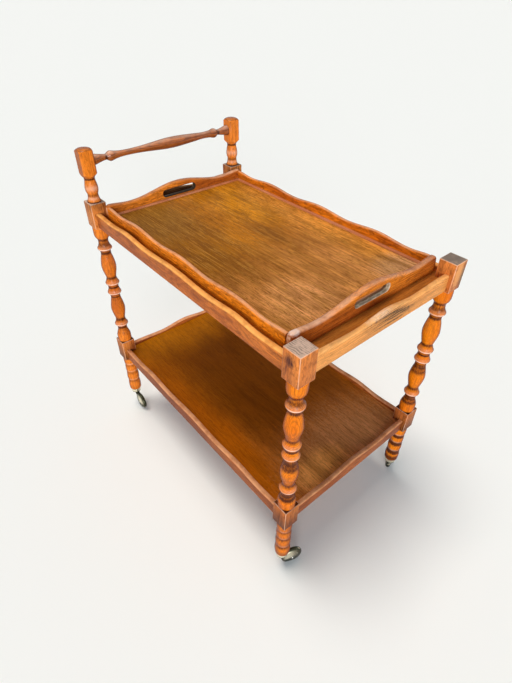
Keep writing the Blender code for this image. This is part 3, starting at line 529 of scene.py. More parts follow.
def stand_posts(post, end, kind, x, blocks):
    """Copy a post to both sides of the cart, and drop the pattern.

    Its finishes go by place: turned wood, block wood and the bare end grain on top."""
    top = max(high for _, high in blocks)
    for side, y in (("right", -LEG_Y), ("left", LEG_Y)):
        corner = f"{end}_{side}"
        placed = copy_piece(post, f"{corner}_{kind}_wood", (x, y, 0))
        for face in placed.data.polygons:
            height = face.center.z
            square = any(low - CLOSE < height < high + CLOSE for low, high in blocks)
            bare = square and face.normal.z > 0.9 and height > top - ARRIS
            face.material_index = int(square) + int(bare)
        paint(placed, "stain_and_shade", leg_stain_and_shade(corner))
        paint(placed, "worn", leg_wear_and_highlights((x, y), blocks))
        fit(placed, "frame", f"{corner}_{kind}", "turned_wood", turned_woods[end], block_wood,
            end_grain)
    bpy.data.objects.remove(post, do_unlink=True)


leg_blocks = (UPPER_BLOCK, LOWER_BLOCK)
stand_posts(turn_leg("leg", leg_blocks, []), "front", "leg", LEG_X, leg_blocks)


# Rear posts. The same turned leg goes on above its upper block through a waisted spindle to a
# square head, domed on top and coned underneath, which holds the end of the push handle. The
# head's arrises are eased, the dome is darkened round its foot and near its top with stain and
# painted shade, and the swellings of the spindle carry painted highlights.

REAR_UPPER_BLOCK = (0.621, 0.682)
HEAD_HALF = 0.016
HEAD_EASE = 0.0036
HEAD_NECK = 0.7379
HEAD_CORNERS = (0.7497, 0.7936)
HEAD_TOP = 0.8026
SPINDLE_TURNINGS = (
    (0.7497, 0.0125), (0.7379, 0.0125), (0.7350, 0.0121), (0.7301, 0.0125), (0.7228, 0.0141),
    (0.7144, 0.0151), (0.7072, 0.0143), (0.7016, 0.0125), (0.6977, 0.0122), (0.6915, 0.0131),
    (0.6859, 0.0149), (0.6820, 0.0166))
# Heights where stain and painted shade lie darkest on the spindle and head, with reach and depth
SPINDLE_STAIN_AND_SHADE = ((0.7365, 0.003, 0.9), (0.6985, 0.006, 0.55), (0.6825, 0.003, 0.9),
                 (HEAD_CORNERS[1] + 0.001, 0.0016, 0.8), (HEAD_TOP - 0.003, 0.0020, 0.55))

# Half of the head's diagonal
reach = HEAD_HALF * math.sqrt(2)
rear_blocks = (REAR_UPPER_BLOCK, LOWER_BLOCK)
post = turn_leg("post", rear_blocks, flow(SPINDLE_TURNINGS))
envelope_profile = [
    (HEAD_TOP, 0.001), (HEAD_TOP - 0.0004, reach * 0.40), (HEAD_TOP - 0.0017, reach * 0.62),
    (HEAD_TOP - 0.0040, reach * 0.80), (HEAD_CORNERS[1], reach * 0.97),
    (HEAD_CORNERS[1] - 0.003, reach + 0.001), (HEAD_CORNERS[0] + 0.001, reach + 0.001),
    (HEAD_CORNERS[0] - 0.001, reach * 0.96), (0.7430, 0.0160), (HEAD_NECK, 0.0118),
    (HEAD_NECK - 0.002, 0.0100)]
envelope = turn("head_envelope", flow(envelope_profile))
head = saw_block("head", (-HEAD_HALF, -HEAD_HALF, HEAD_NECK - 0.01),
                 (HEAD_HALF, HEAD_HALF, HEAD_TOP + 0.01), HEAD_EASE, 1)
combine(head, "INTERSECT", envelope)
combine(post, "UNION", head)
stand_posts(post, "rear", "post", -LEG_X, rear_blocks)


# Push handle. A turned bar of darker, redder wood between the two heads: a trumpet flare, a
# groove and a bell bead at each end, then a long belly that swells to its thickest a little
# left of the middle. Round spigots, out of sight, glue it into the heads.

BAR_HEIGHT = 0.774
JOINT_GAP = 0.0003
BAR_HALF = LEG_Y - HEAD_HALF - JOINT_GAP
BAR_SPIGOT = (0.0065, 0.012)
BAR_END = ((1.000, 0.0126), (0.965, 0.0115), (0.925, 0.0095), (0.880, 0.0077), (0.845, 0.0067),
           (0.828, 0.0066), (0.812, 0.0082), (0.795, 0.0102), (0.775, 0.0114), (0.752, 0.0109),
           (0.722, 0.0096), (0.690, 0.0084))
BAR_BELLY = ((0.620, 0.0070), (0.500, 0.0066), (0.340, 0.0076), (0.210, 0.0094), (0.100, 0.0110),
             (0.000, 0.0124), (-0.120, 0.0128), (-0.220, 0.0122), (-0.340, 0.0109),
             (-0.470, 0.0092), (-0.580, 0.0078))
# Shares of the bar's half length: its grooves, and the crowns of its beads
BAR_GROOVE_SHARE = 0.835
BAR_CROWN_SHARES = (0.775, 0.97)
# How pale the painted highlight along the top of the bar is, and how much paler on its crowns
BAR_HIGHLIGHT_SHARES = (0.45, 0.35)

right_end = [(-BAR_HALF * share, radius) for share, radius in BAR_END]
left_end = [(BAR_HALF * share, radius) for share, radius in reversed(BAR_END)]
belly = [(-BAR_HALF * share, radius) for share, radius in BAR_BELLY]
bar_profile = flow(right_end + belly + left_end)
tip = BAR_HALF + BAR_SPIGOT[1]
bar_profile = [(-tip, BAR_SPIGOT[0]), (-BAR_HALF, BAR_SPIGOT[0]), *bar_profile,
               (BAR_HALF, BAR_SPIGOT[0]), (tip, BAR_SPIGOT[0])]
bar = turn("handle_bar_wood", bar_profile, (-LEG_X, 0, BAR_HEIGHT), (0, 1, 0))
bar_wood = varnished_wood(
    "bar_wood", CROSSWISE, (-0.70, -0.20, 0), 0.0030, 0.040, light=(0.48, 0.130, 0.022),
    deep=(0.25, 0.058, 0.014), dark=(0.060, 0.015, 0.008), worn=(0.80, 0.44, 0.29),
    rough=0.22, coat=0.60, rings=0.60, streaks=0.50, rim=0.70)


def bar_darkening(spot):
    """Darker in the grooves and where the bar meets the heads."""
    share = abs(spot.y) / BAR_HALF
    return max(bell(share, BAR_GROOVE_SHARE, 0.02), 0.7 * bell(share, 1.0, 0.012))


def bar_highlight(spot):
    """Painted highlight along the top of the bar and on the crowns of its beads."""
    out = math.hypot(spot.x + LEG_X, spot.z - BAR_HEIGHT)
    up = (spot.z - BAR_HEIGHT) / max(out, CLOSE)
    crowns = sum(bell(abs(spot.y) / BAR_HALF, crown, 0.03) for crown in BAR_CROWN_SHARES)
    ground, crown_share = BAR_HIGHLIGHT_SHARES
    return hold((up - 0.42) / 0.42) * (ground + crown_share * min(1.0, crowns))


paint(bar, "stain_and_shade", bar_darkening)
paint(bar, "worn", bar_highlight)
fit(bar, "frame", "handle_bar", "bar_wood", bar_wood)


# Rails. Sawn boards on edge, tenoned into the blocks, four to each tier. Their top edges are cut
# in slow waves and rounded over, and those tops are painted paler and more golden than the
# reddish faces below: polishing wear, with painted light on the lit tops.

RAIL_THICKNESS = 0.012
RAIL_OUTER_X = 0.35615
RAIL_OUTER_Y = 0.21505
RAIL_ROUND = 0.0040
TIERS = {"upper": (0.624, 0.659), "lower": (0.204, 0.236)}
LONG_WAVE = 0.0026
END_WAVE = 0.0040
LONG_WAVE_SHARES = ((0, 1), (0.33, -1), (0.58, 1), (0.79, -1), (1, 0))
END_WAVE_SHARES = ((0, 1), (0.43, -1), (0.94, 0.1), (1, 0))
WAVE_STATIONS = 84
CREST_FADE = RAIL_ROUND * 0.6


def wave(table, place):
    """Height share of a wavy edge at a place, with a soft swing between crests and hollows."""
    place = abs(place)
    for (start, low), (end, high) in zip(table, table[1:]):
        if place <= end:
            swing = 1 - math.cos(math.pi * (place - start) / (end - start))
            return low + (high - low) * swing / 2
    return table[-1][1]


def wavy_crest(half, rise):
    """Line of a wavy edge from one end of a board to the other, by a rule for its height."""
    places = [half - 2 * half * step / WAVE_STATIONS for step in range(WAVE_STATIONS + 1)]
    return [(place, rise(place)) for place in places]


def under_crest(crest, axis):
    """Rule for how far a spot lies under a wavy edge."""
    line, rises = zip(*reversed(crest))
    return lambda spot: float(np.interp(spot[axis], line, rises)) - spot.z


def pick_edges(test):
    """Select the edges of the piece in hand whose two ends pass a test."""
    bpy.context.tool_settings.mesh_select_mode = (False, True, False)
    bpy.ops.mesh.select_all(action="DESELECT")
    shape = bmesh.from_edit_mesh(bpy.context.object.data)
    for edge in shape.edges:
        if test(edge.verts[0].co, edge.verts[1].co):
            edge.select_set(True)
    bmesh.update_edit_mesh(bpy.context.object.data)


def saw_board(name, outline, thickness, above, round_over, segments=5):
    """Saw a board to an outline and round over the edges of its faces above a height."""
    board = draw_line(name, outline)
    bpy.ops.mesh.edge_face_add()
    pull(thickness)
    bpy.ops.mesh.select_all(action="SELECT")
    bpy.ops.mesh.normals_make_consistent(inside=False)
    across = Vector(thickness).normalized()
    pick_edges(lambda first, second: min(first.z, second.z) > above
               and abs((first - second).dot(across)) < CLOSE)
    bpy.ops.mesh.bevel(offset=round_over, segments=segments, affect="EDGES", clamp_overlap=False)
    close_shape()
    return board


def lay_along(kind, along, across, rise):
    """Spot on a board: a long one lies along X and an end one along Y."""
    return (along, across, rise) if kind == "long" else (across, along, rise)


long_rail_wood = varnished_wood(
    "long_rail_wood", LENGTHWISE, (-0.66, -0.34, 0), 0.0030, 0.045, light=(0.76, 0.220, 0.036),
    deep=(0.46, 0.108, 0.020), dark=(0.14, 0.032, 0.010), worn=(0.93, 0.42, 0.105),
    rough=0.36, coat=0.05, rings=0.36, streaks=0.44, mottles=0.42, rim=0.40)
lower_rail_wood = {
    kind: varnished_wood(
        f"lower_{kind}_rail_wood", grain, (-0.66, -0.34, 0), 0.0030, 0.045,
        light=(0.54, 0.145, 0.026), deep=(0.29, 0.062, 0.012), dark=(0.09, 0.020, 0.007),
        worn=(0.84, 0.41, 0.20), rough=0.34, coat=0.06, rings=0.36, streaks=0.44, mottles=0.40,
        rim=0.40)
    for kind, grain in (("long", LENGTHWISE), ("end", CROSSWISE))}
# Blotches of the upper end rails: grey streaks and a painted highlight arch in front, a painted
# shade on the crest at the rear
GREY_PATCH = ((0.3562, 0.0080, 0.6440), (0.010, 0.085, 0.024), (0.040, 0.030, 0.016), 0.10)
HIGHLIGHT_ARCH = ((0.3500, -0.0200, 0.6600), (0.012, 0.045, 0.009), (0.90, 0.60, 0.42), 0.5)
SHADED_REAR_CREST = ((-0.3440, 0.0180, 0.6570), (0.012, 0.125, 0.022), (0.030, 0.016, 0.009), 0.9)
end_rail_wood = varnished_wood(
    "end_rail_wood", CROSSWISE, (0.30, -0.20, 0), 0.0030, 0.040, light=(0.98, 0.430, 0.115),
    deep=(0.92, 0.370, 0.088), dark=(0.20, 0.066, 0.020), worn=(0.88, 0.47, 0.18),
    rough=0.36, coat=0.05, rings=0.32, streaks=0.38, mottles=0.22, rim=0.26,
    blotches=(HIGHLIGHT_ARCH, GREY_PATCH, SHADED_REAR_CREST))
rail_woods = {"upper": {"long": long_rail_wood, "end": end_rail_wood}, "lower": lower_rail_wood}
# How pale the crests are painted, with wear and painted light, by tier, and on the upper end
# rails one by one: the rear one is kept dark under its painted shade
CREST_SHARES = {"upper": 1.0, "lower": 0.72, "upper_front_rail": 0.46, "upper_rear_rail": 0.04}
RAIL_KINDS = (
    ("long", LEG_X, RAIL_OUTER_Y, LONG_WAVE, LONG_WAVE_SHARES, ("left", "right")),
    ("end", LEG_Y, RAIL_OUTER_X, END_WAVE, END_WAVE_SHARES, ("front", "rear")))

for tier, (bottom, top) in TIERS.items():
    for kind, reach, outer, height, shares, sides in RAIL_KINDS:
        half = reach - BLOCK_HALF - JOINT_GAP
        crest = wavy_crest(half, lambda place: top + height * wave(shares, place / half))
        under = under_crest(crest, 0 if kind == "long" else 1)
        low_crest = top - height - RAIL_ROUND / 2
        for side, word in zip((1, -1), sides):
            name = f"{tier}_{word}_rail"
            spots = [lay_along(kind, along, side * outer, rise)
                     for along, rise in (*crest, (-half, bottom), (half, bottom))]
            rail = saw_board(f"{name}_wood", spots, lay_along(kind, 0, -side * RAIL_THICKNESS, 0),
                             low_crest, RAIL_ROUND)
            # The crest is painted pale: polishing wear, with painted light on the lit top
            pale = CREST_SHARES.get(name, CREST_SHARES[tier])
            paint(rail, "worn", lambda spot: pale * hold(1.6 - under(spot) / CREST_FADE))
            fit(rail, "frame", name, "rail_wood", rail_woods[tier][kind])


# Shelves. Veneered boards let in between the rails and notched round the blocks, each on two
# cleats. The lower one is painted deep red-brown in the middle as shade under the tray, and lighter
# and more golden to the rear and along its right edge as painted light, with fine grain running
# the length of the cart.

# Figure of the veneer from broad to fine: the stretch, detail and roughness of each noise, where
# it starts and is full, and its share
VENEER_FIGURE = {
    "clouds": ((11, 24, 1.0), 4, 0.60, (0.42, 0.66), 0.34),
    "ribbons": ((3.4, 34, 1.0), 5, 0.65, (0.46, 0.68), 0.42),
    "lines": ((12, 360, 1.0), 5, 0.70, (0.44, 0.60), 0.38),
    "pale": ((16, 430, 1.0), 4, 0.65, (0.50, 0.64), 0.24),
    "ticks": ((60, 420, 1.0), 3, 0.60, (0.54, 0.64), 0.50),
    "fine": ((190, 1400, 1.0), 2, 0.55, (0.50, 0.70), 0.35)}
VENEER_REACH = 0.1


def veneer(name, light, dark, front, front_share, streak, gold, rough, drift, contrast,
           turned=0.0, level=0.0, blotches=()):
    """Fine straight-grained veneer: broad colour drift, long streaks, ribbons and short pores.

    Blotches are (place and reach along X and Y, colour), at the level of the board."""
    made, tree, shader = start_material(name, rough, specular=0.03)
    place = object_place(tree)
    laid = add_node(tree, "ShaderNodeMapping", {"Vector": place, "Rotation": (0, 0, turned)})
    where = laid.outputs[0]
    broad = stretched_noise(where, (3.2, 9.0, 1.0), 3, 0.6)
    toward = step_up(plus(axis_of(place, "X"), times(broad, 0.25)), *drift, 0.0, front_share)
    colour = tint(toward, tint(step_up(broad, 0.36, 0.66), light, dark), front)
    for x, y, reach_x, reach_y, shade in blotches:
        patch = blotch(place, (x, y, level), (reach_x, reach_y, VENEER_REACH), 0.35)
        colour = tint(patch, colour, shade)
    masks = {}
    for label, (stretch, detail, roughness, span, share) in VENEER_FIGURE.items():
        masks[label] = step_up(stretched_noise(where, stretch, detail, roughness), *span)
        shade = gold if label == "pale" else streak
        colour = tint(times(masks[label], share * contrast), colour, shade)
    gloss = times(minus(broad, 0.5), 0.35)
    feed(shader.inputs["Roughness"], calc("ADD", gloss, rough, clamp=True))
    surface(shader, colour, minus(masks["lines"], masks["fine"]), 0.20, 0.0003)
    return made


def refinish(node, wood):
    """Give a CAD node whose shape is right its own finish."""
    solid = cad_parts[node]
    solid.data.materials.clear()
    solid.data.materials.append(wood)


# Blotches of the lower shelf: painted shade in the deep middle, painted light on the olive rear
# and the golden right edge, and a faded and ruddy corner
SHELF_BLOTCHES = (
    (-0.02, 0.02, 0.34, 0.28, (0.310, 0.084, 0.003)),
    (-0.34, 0.02, 0.16, 0.40, (0.46, 0.148, 0.002)),
    (0.14, -0.19, 0.42, 0.065, (0.46, 0.110, 0.001)),
    (0.36, 0.05, 0.22, 0.26, (0.72, 0.306, 0.108)),
    (0.322, -0.055, 0.070, 0.100, (0.98, 0.410, 0.100)))
shelf_veneer = veneer(
    "shelf_veneer", light=(0.48, 0.128, 0.001), dark=(0.30, 0.064, 0.001),
    front=(0.72, 0.220, 0.030), front_share=0.70, streak=(0.12, 0.030, 0.001),
    gold=(0.62, 0.20, 0.010), rough=0.42, drift=(0.10, 0.40), contrast=0.75, level=0.22,
    blotches=SHELF_BLOTCHES)
hidden_veneer = veneer(
    "upper_shelf_veneer", light=(0.62, 0.20, 0.022), dark=(0.40, 0.11, 0.014),
    front=(0.50, 0.17, 0.030), front_share=0.5, streak=(0.14, 0.036, 0.008),
    gold=(0.80, 0.34, 0.05), rough=0.42, drift=(-0.05, 0.35), contrast=0.8, turned=math.pi / 2)
refinish("lower_shelf", shelf_veneer)
refinish("upper_shelf", hidden_veneer)
for tier in TIERS:
    for side in ("right", "left"):
        refinish(f"{tier}_{side}_cleat", long_rail_wood)


# Tray. It lifts off: two thick arched ends with a hand slot each, two thinner wavy sides between
# them, and a veneered base in their grooves with a small bead round it. The ends have lifted,
# rounded corners. The tops of the ends and of the sides are painted almost pink: rubbed wear,
# with painted highlights on the outer edges, on one half of each end and on the corners.

TRAY_HALF_X = 0.316
TRAY_HALF_Y = 0.197
TRAY_SHIFT = 0.0025
TRAY_END_THICKNESS = 0.014
TRAY_SIDE_THICKNESS = 0.009
TRAY_BOTTOM = 0.6453
TRAY_END_LOW = 0.0305
TRAY_ARCH = 0.019
TRAY_CORNER = 0.0055
TRAY_CORNER_RADIUS = 0.009
TRAY_SIDE_TOP = 0.0308
TRAY_SIDE_WAVE = 0.0030
TRAY_END_ROUND = 0.0050
TRAY_SIDE_ROUND = 0.0034
TRAY_ARCH_SHARES = ((0, 1), (0.68, 0), (1, 0))
TRAY_CORNER_SHARES = ((0, 0), (0.68, 0), (1, 1))
TRAY_SIDE_SHARES = ((0, 1), (0.285, -1), (0.57, 1), (0.83, -1), (1, 0.3))
SLOT_HALF = 0.048
SLOT_RADIUS = 0.009
SLOT_LOW = 0.0172
SLOT_MIDDLE = TRAY_BOTTOM + SLOT_LOW + SLOT_RADIUS
SLOT_EASE = 0.0016
# Where a hand slot's painted shade gives way to bare wood, outward from the middle of the tray
SLOT_SHADE = (0.3065, 0.3095)
SLOT_STEPS = 12
CORNER_STEPS = 6
# How deep the pale band of wear and painted highlight reaches down the ends and the sides, and
# how pale it is: on the ends all over, towards the outer face and on the highlighted half
END_WEAR_AND_HIGHLIGHT = 0.0034
END_WEAR_AND_HIGHLIGHT_SHARES = (0.16, 0.24, 0.48)
SIDE_WEAR_AND_HIGHLIGHT = 0.0022
SIDE_WEAR_AND_HIGHLIGHT_SHARE = 0.55
# The highlighted half starts this far past the middle, and is full this much further on
HIGHLIGHTED_HALF = (0.03, 0.14)
# How far down the corners carry a painted highlight, and how pale
CORNER_HIGHLIGHT = 0.012
CORNER_HIGHLIGHT_SHARE = 0.7

tray_side_wood = varnished_wood(
    "tray_side_wood", LENGTHWISE, (-0.60, -0.50, 0), 0.0030, 0.040, light=(0.98, 0.270, 0.010),
    deep=(0.66, 0.140, 0.008), dark=(0.12, 0.024, 0.005), worn=(0.94, 0.50, 0.28),
    rough=0.28, coat=0.12, rings=0.36, streaks=0.45, mottles=0.50, rim=0.40, clouds=(0.44, 0.66))
# Painted highlight on the crest at the near corner of the front end
HIGHLIGHT_TIP = ((0.3090, -0.1830, 0.6790), (0.0110, 0.0120, 0.0100), (0.84, 0.70, 0.66), 0.8)
tray_end_wood = varnished_wood(
    "tray_end_wood", CROSSWISE, (0.25, -0.45, 0), 0.0030, 0.040, light=(0.90, 0.270, 0.024),
    deep=(0.48, 0.112, 0.013), dark=(0.11, 0.025, 0.006), worn=(0.94, 0.54, 0.34),
    rough=0.28, coat=0.14, rings=0.36, streaks=0.45, mottles=0.45, rim=0.35, clouds=(0.42, 0.64),
    blotches=(HIGHLIGHT_TIP,))


def bare_wood(name, ground, dark, inside):
    """Unvarnished wood in a hand slot, grimy from handling, with painted shade towards the tray."""
    made, tree, shader = start_material(name, 0.65, specular=0.1)
    grown, where = figure(tree, CROSSWISE, (0.25, -0.45, 0), 0.003, 0.04)
    grime = step_up(stretched_noise(where, (110, 60, 110), 4, 0.65), 0.40, 0.62)
    outward = plus(calc("ABSOLUTE", axis_of(where, "X")), times(minus(grime, 0.5), 0.002))
    # Painted shade on the wood nearer the tray
    colour = lay(tint(grime, ground, dark), (step_up(outward, *SLOT_SHADE, 1.0, 0.0), inside),
                 (times(grown["Streaks"], 0.5), dark))
    surface(shader, colour, grown["Fibres"], 0.4, 0.0004)
    return made


# The front slot is bare with painted shade towards the tray; the rear one is painted dark as shade
slot_woods = {
    "front": bare_wood("front_slot_wood", (0.70, 0.56, 0.40), (0.36, 0.26, 0.17),
                       (0.13, 0.055, 0.022)),
    "rear": bare_wood("rear_slot_wood", (0.085, 0.058, 0.034), (0.030, 0.020, 0.012),
                      (0.045, 0.024, 0.011))}


def end_crest(place):
    """Height of a tray end's top edge at a place across the tray."""
    share = place / TRAY_HALF_Y
    rise = TRAY_ARCH * wave(TRAY_ARCH_SHARES, share) + TRAY_CORNER * wave(TRAY_CORNER_SHARES, share)
    return TRAY_BOTTOM + TRAY_END_LOW + rise


def in_slot(spot, margin):
    """Whether a spot on a tray end lies in its hand slot or just round it."""
    near = abs(spot.y - TRAY_SHIFT) < SLOT_HALF + margin
    return near and abs(spot.z - SLOT_MIDDLE) < SLOT_RADIUS + margin


def slot_outline(x):
    """Stadium round a hand slot, just outside one face of an end board."""
    run = SLOT_HALF - SLOT_RADIUS
    spots = []
    for side in (1, -1):
        for step in range(SLOT_STEPS + 1):
            angle = math.pi * step / SLOT_STEPS - side * math.pi / 2
            spots.append((x, TRAY_SHIFT + side * run + SLOT_RADIUS * math.cos(angle),
                          SLOT_MIDDLE + SLOT_RADIUS * math.sin(angle)))
    return spots


straight = TRAY_HALF_Y - TRAY_CORNER_RADIUS
crest = wavy_crest(straight, end_crest)
corner = []
for step in range(1, CORNER_STEPS + 1):
    angle = math.pi / 2 * step / CORNER_STEPS
    corner.append((straight + TRAY_CORNER_RADIUS * math.sin(angle),
                   crest[-1][1] - TRAY_CORNER_RADIUS + TRAY_CORNER_RADIUS * math.cos(angle)))
end_outline = [*crest, *((-along, rise) for along, rise in corner), (-TRAY_HALF_Y, TRAY_BOTTOM),
               (TRAY_HALF_Y, TRAY_BOTTOM), *reversed(corner)]
for name, side in (("front", 1), ("rear", -1)):
    outer = side * TRAY_HALF_X
    spots = [(outer, along + TRAY_SHIFT, rise) for along, rise in end_outline]
    board = saw_board(f"tray_{name}_end_wood", spots, (-side * TRAY_END_THICKNESS, 0, 0),
                      TRAY_BOTTOM + TRAY_END_LOW / 2, TRAY_END_ROUND, 6)
    cutter = draw_line("slot_cutter", slot_outline(outer + side * TRAY_END_THICKNESS))
    bpy.ops.mesh.edge_face_add()
    pull((-side * TRAY_END_THICKNESS * 3, 0, 0))
    close_shape()
    combine(board, "DIFFERENCE", cutter)
    bpy.ops.object.mode_set(mode="EDIT")
    pick_edges(lambda first, second: in_slot((first + second) / 2, CLOSE * 10)
               and abs(first.x - second.x) < CLOSE)
    bpy.ops.mesh.bevel(offset=SLOT_EASE, segments=3, affect="EDGES")
    close_shape()

    def end_wear_and_highlight(spot):
        """Pale on the crest with wear and painted highlights, most on its outer face and
        highlighted half, and a painted highlight on the corners.
        """
        place = spot.y - TRAY_SHIFT
        under = end_crest(min(abs(place), straight)) - spot.z
        outward = (spot.x / side - TRAY_HALF_X + TRAY_END_THICKNESS) / TRAY_END_THICKNESS
        highlighted = hold((-HIGHLIGHTED_HALF[0] - side * place) / HIGHLIGHTED_HALF[1])
        ground, face_share, highlight_share = END_WEAR_AND_HIGHLIGHT_SHARES
        on_crest = hold(1 - under / END_WEAR_AND_HIGHLIGHT) * (ground + face_share * outward
                                                 + highlight_share * highlighted)
        on_corner = TRAY_HALF_Y - abs(place) < CLOSE * 50 and under < CORNER_HIGHLIGHT
        return max(on_crest, CORNER_HIGHLIGHT_SHARE if on_corner else 0)

    paint(board, "worn", end_wear_and_highlight)
    for face in board.data.polygons:
        if in_slot(face.center, SLOT_EASE) and abs(face.normal.x) < 0.9:
            face.material_index = 1
    fit(board, "tray", f"tray_{name}_end", "tray_wood", tray_end_wood, slot_woods[name])

side_half = TRAY_HALF_X - TRAY_END_THICKNESS - JOINT_GAP
side_top = TRAY_BOTTOM + TRAY_SIDE_TOP
side_crest = wavy_crest(side_half, lambda place: (
    side_top + TRAY_SIDE_WAVE * wave(TRAY_SIDE_SHARES, place / side_half)))
under_side = under_crest(side_crest, 0)
for name, side in (("right", -1), ("left", 1)):
    spots = [(along, side * TRAY_HALF_Y + TRAY_SHIFT, rise) for along, rise in
             (*side_crest, (-side_half, TRAY_BOTTOM), (side_half, TRAY_BOTTOM))]
    board = saw_board(f"tray_{name}_side_wood", spots, (0, -side * TRAY_SIDE_THICKNESS, 0),
                      TRAY_BOTTOM + TRAY_SIDE_TOP / 2, TRAY_SIDE_ROUND)
    # Crest of the sides painted pale: rubbed wear with painted highlights
    paint(board, "worn", lambda spot: SIDE_WEAR_AND_HIGHLIGHT_SHARE * hold(1 - under_side(spot) / SIDE_WEAR_AND_HIGHLIGHT))
    fit(board, "tray", f"tray_{name}_side", "tray_wood", tray_side_wood)

# Blotches of the base: golden rear and far side, dusky near side, olive near corner at the rear,
# and the two pale corners in front, a painted reflection of the sky
BASE_BLOTCHES = (
    (-0.170, 0.095, 0.18, 0.085, (0.78, 0.280, 0.008)),
    (0.110, 0.180, 0.44, 0.085, (0.94, 0.350, 0.056)),
    (-0.110, -0.120, 0.28, 0.12, (0.34, 0.116, 0.004)),
    (-0.235, -0.120, 0.18, 0.11, (0.29, 0.122, 0.016)),
    (0.245, -0.080, 0.110, 0.085, (0.98, 0.415, 0.140)),
    (0.280, 0.150, 0.080, 0.080, (0.76, 0.380, 0.160)))
# Its front tone, paler towards the front end, is a painted reflection of the sky
base_veneer = veneer(
    "base_veneer", light=(0.60, 0.200, 0.008), dark=(0.38, 0.114, 0.004),
    front=(0.78, 0.315, 0.090), front_share=0.85, streak=(0.16, 0.050, 0.003),
    gold=(0.88, 0.42, 0.07), rough=0.40, drift=(0.08, 0.40), contrast=1.25, level=0.6548,
    blotches=BASE_BLOTCHES)
bead_wood = varnished_wood(
    "bead_wood", LENGTHWISE, (-0.60, -0.50, 0), 0.003, 0.03, light=(0.70, 0.27, 0.12),
    deep=(0.50, 0.15, 0.05), dark=(0.22, 0.06, 0.03), worn=(0.88, 0.48, 0.26),
    rough=0.26, coat=0.10, rings=0.3, streaks=0.3)
refinish("tray_base", base_veneer)
for side in ("right", "left", "rear", "front"):
    refinish(f"tray_{side}_bead", bead_wood)


# Casters. Cast brass, gone dark olive with age, rubbed bright on the socket's rim and with painted
# highlights on the hoods: a socket with a rolled rim takes the foot, and a fork swivels under it,
# its arm running into a lens-shaped hood that is open below over a solid lens-shaped wheel on a
# riveted axle.

# Place of each caster, its heading in degrees, and the place along its hood, in shares of the
# hood's radius, where its painted highlight is brightest
CASTERS = {"front_right": (LEG_X, -LEG_Y, 72, -0.40), "front_left": (LEG_X, LEG_Y, 117, 0.0),
           "rear_right": (-LEG_X, -LEG_Y, -2, 0.35), "rear_left": (-LEG_X, LEG_Y, -40, 0.0)}
AXLE_HEIGHT = 0.0242
TRAIL = 0.0265
HOOD_RADIUS = 0.0265
HOOD_HALF = 0.0086
HOOD_WALL = 0.0015
AXLE_PLACE = (TRAIL, 0, AXLE_HEIGHT)
HOOD_MOUTH = -0.0155
MOUTH_TILT = 5
SOCKET_PROFILE = (
    (0.0667, 0.0117), (0.0667, 0.0140), (0.0664, 0.0144), (0.0656, 0.01475), (0.0648, 0.01480),
    (0.0640, 0.01465), (0.0634, 0.0142), (0.0620, 0.0142), (0.0580, 0.0141), (0.0545, 0.0139),
    (0.0530, 0.0134), (0.0515, 0.0120), (0.0500, 0.0100), (0.0493, 0.0088))
HOOD_LENS = ((1, 0.02), (0.99, 0.22), (0.955, 0.42), (0.88, 0.62), (0.75, 0.79), (0.58, 0.90),
             (0.38, 0.965), (0.18, 0.993), (0, 1.0))
WHEEL_LENS = ((0.0064, 0.0024), (0.0064, 0.0056), (0.0058, 0.0061), (0.0050, 0.0064),
              (0.0050, 0.0105), (0.0047, 0.0150), (0.0040, 0.0190), (0.0028, 0.0222),
              (0.0014, 0.0238), (0, 0.0242))
ARM_RINGS = ((0.000, 0.0478, 0.0, 0.0062), (0.0012, 0.0459, 0.17, 0.0063),
             (0.0045, 0.0428, 0.42, 0.0064), (0.0085, 0.0402, 0.55, 0.0064),
             (0.0132, 0.0379, 0.55, 0.0062))
FLANGE_PROFILE = ((0.0490, 0.0085), (0.0484, 0.0087), (0.0474, 0.0087), (0.0466, 0.0081))
STEM_PROFILE = ((0.0580, 0.0030), (0.0575, 0.0032), (0.0480, 0.0032))
RIVET = ((0.0099, 0.0012), (0.00975, 0.0022), (0.0093, 0.0032), (0.0089, 0.0037),
         (0.0089, 0.0023), (0.0, 0.0023))
# How fine the casting is grown together
FORK_GRAIN = 0.00065
# Painted highlight ring on a hood, in shares of its radius: its middle and half width, the height
# where it starts and the climb to where it is full, and its spread along the hood
HOOD_HIGHLIGHT_SHARES = (0.50, 0.44, -0.06, 0.22, 0.62)


def turn_lens(name, half_profile, steps):
    """Turn a lens round the axle from half of its profile, from a pole to the middle."""
    far_half = [(-place, radius) for place, radius in reversed(half_profile[:-1])]
    return turn(name, [*half_profile, *far_half], AXLE_PLACE, (0, 1, 0), steps)


def cast_arm():
    """Arm of a caster, from its flange into the hood, bridged from ring to ring."""
    rings = [begin("arm", bpy.ops.mesh.primitive_circle_add, vertices=28, radius=radius,
                   location=(ahead, 0, height), rotation=(0, -math.pi / 2 * lean, 0))
             for ahead, height, lean, radius in ARM_RINGS]
    for ring in rings:
        ring.select_set(True)
    bpy.context.view_layer.objects.active = rings[0]
    bpy.ops.object.join()
    bpy.ops.object.transform_apply()
    edit_all()
    bpy.ops.mesh.bridge_edge_loops()
    top = ARM_RINGS[0][1]
    pick_edges(lambda first, second: max(abs(first.z - top), abs(second.z - top)) < CLOSE)
    bpy.ops.mesh.edge_face_add()
    bpy.ops.mesh.select_all(action="DESELECT")
    bpy.ops.mesh.select_non_manifold()
    bpy.ops.mesh.edge_face_add()
    close_shape()
    return rings[0]


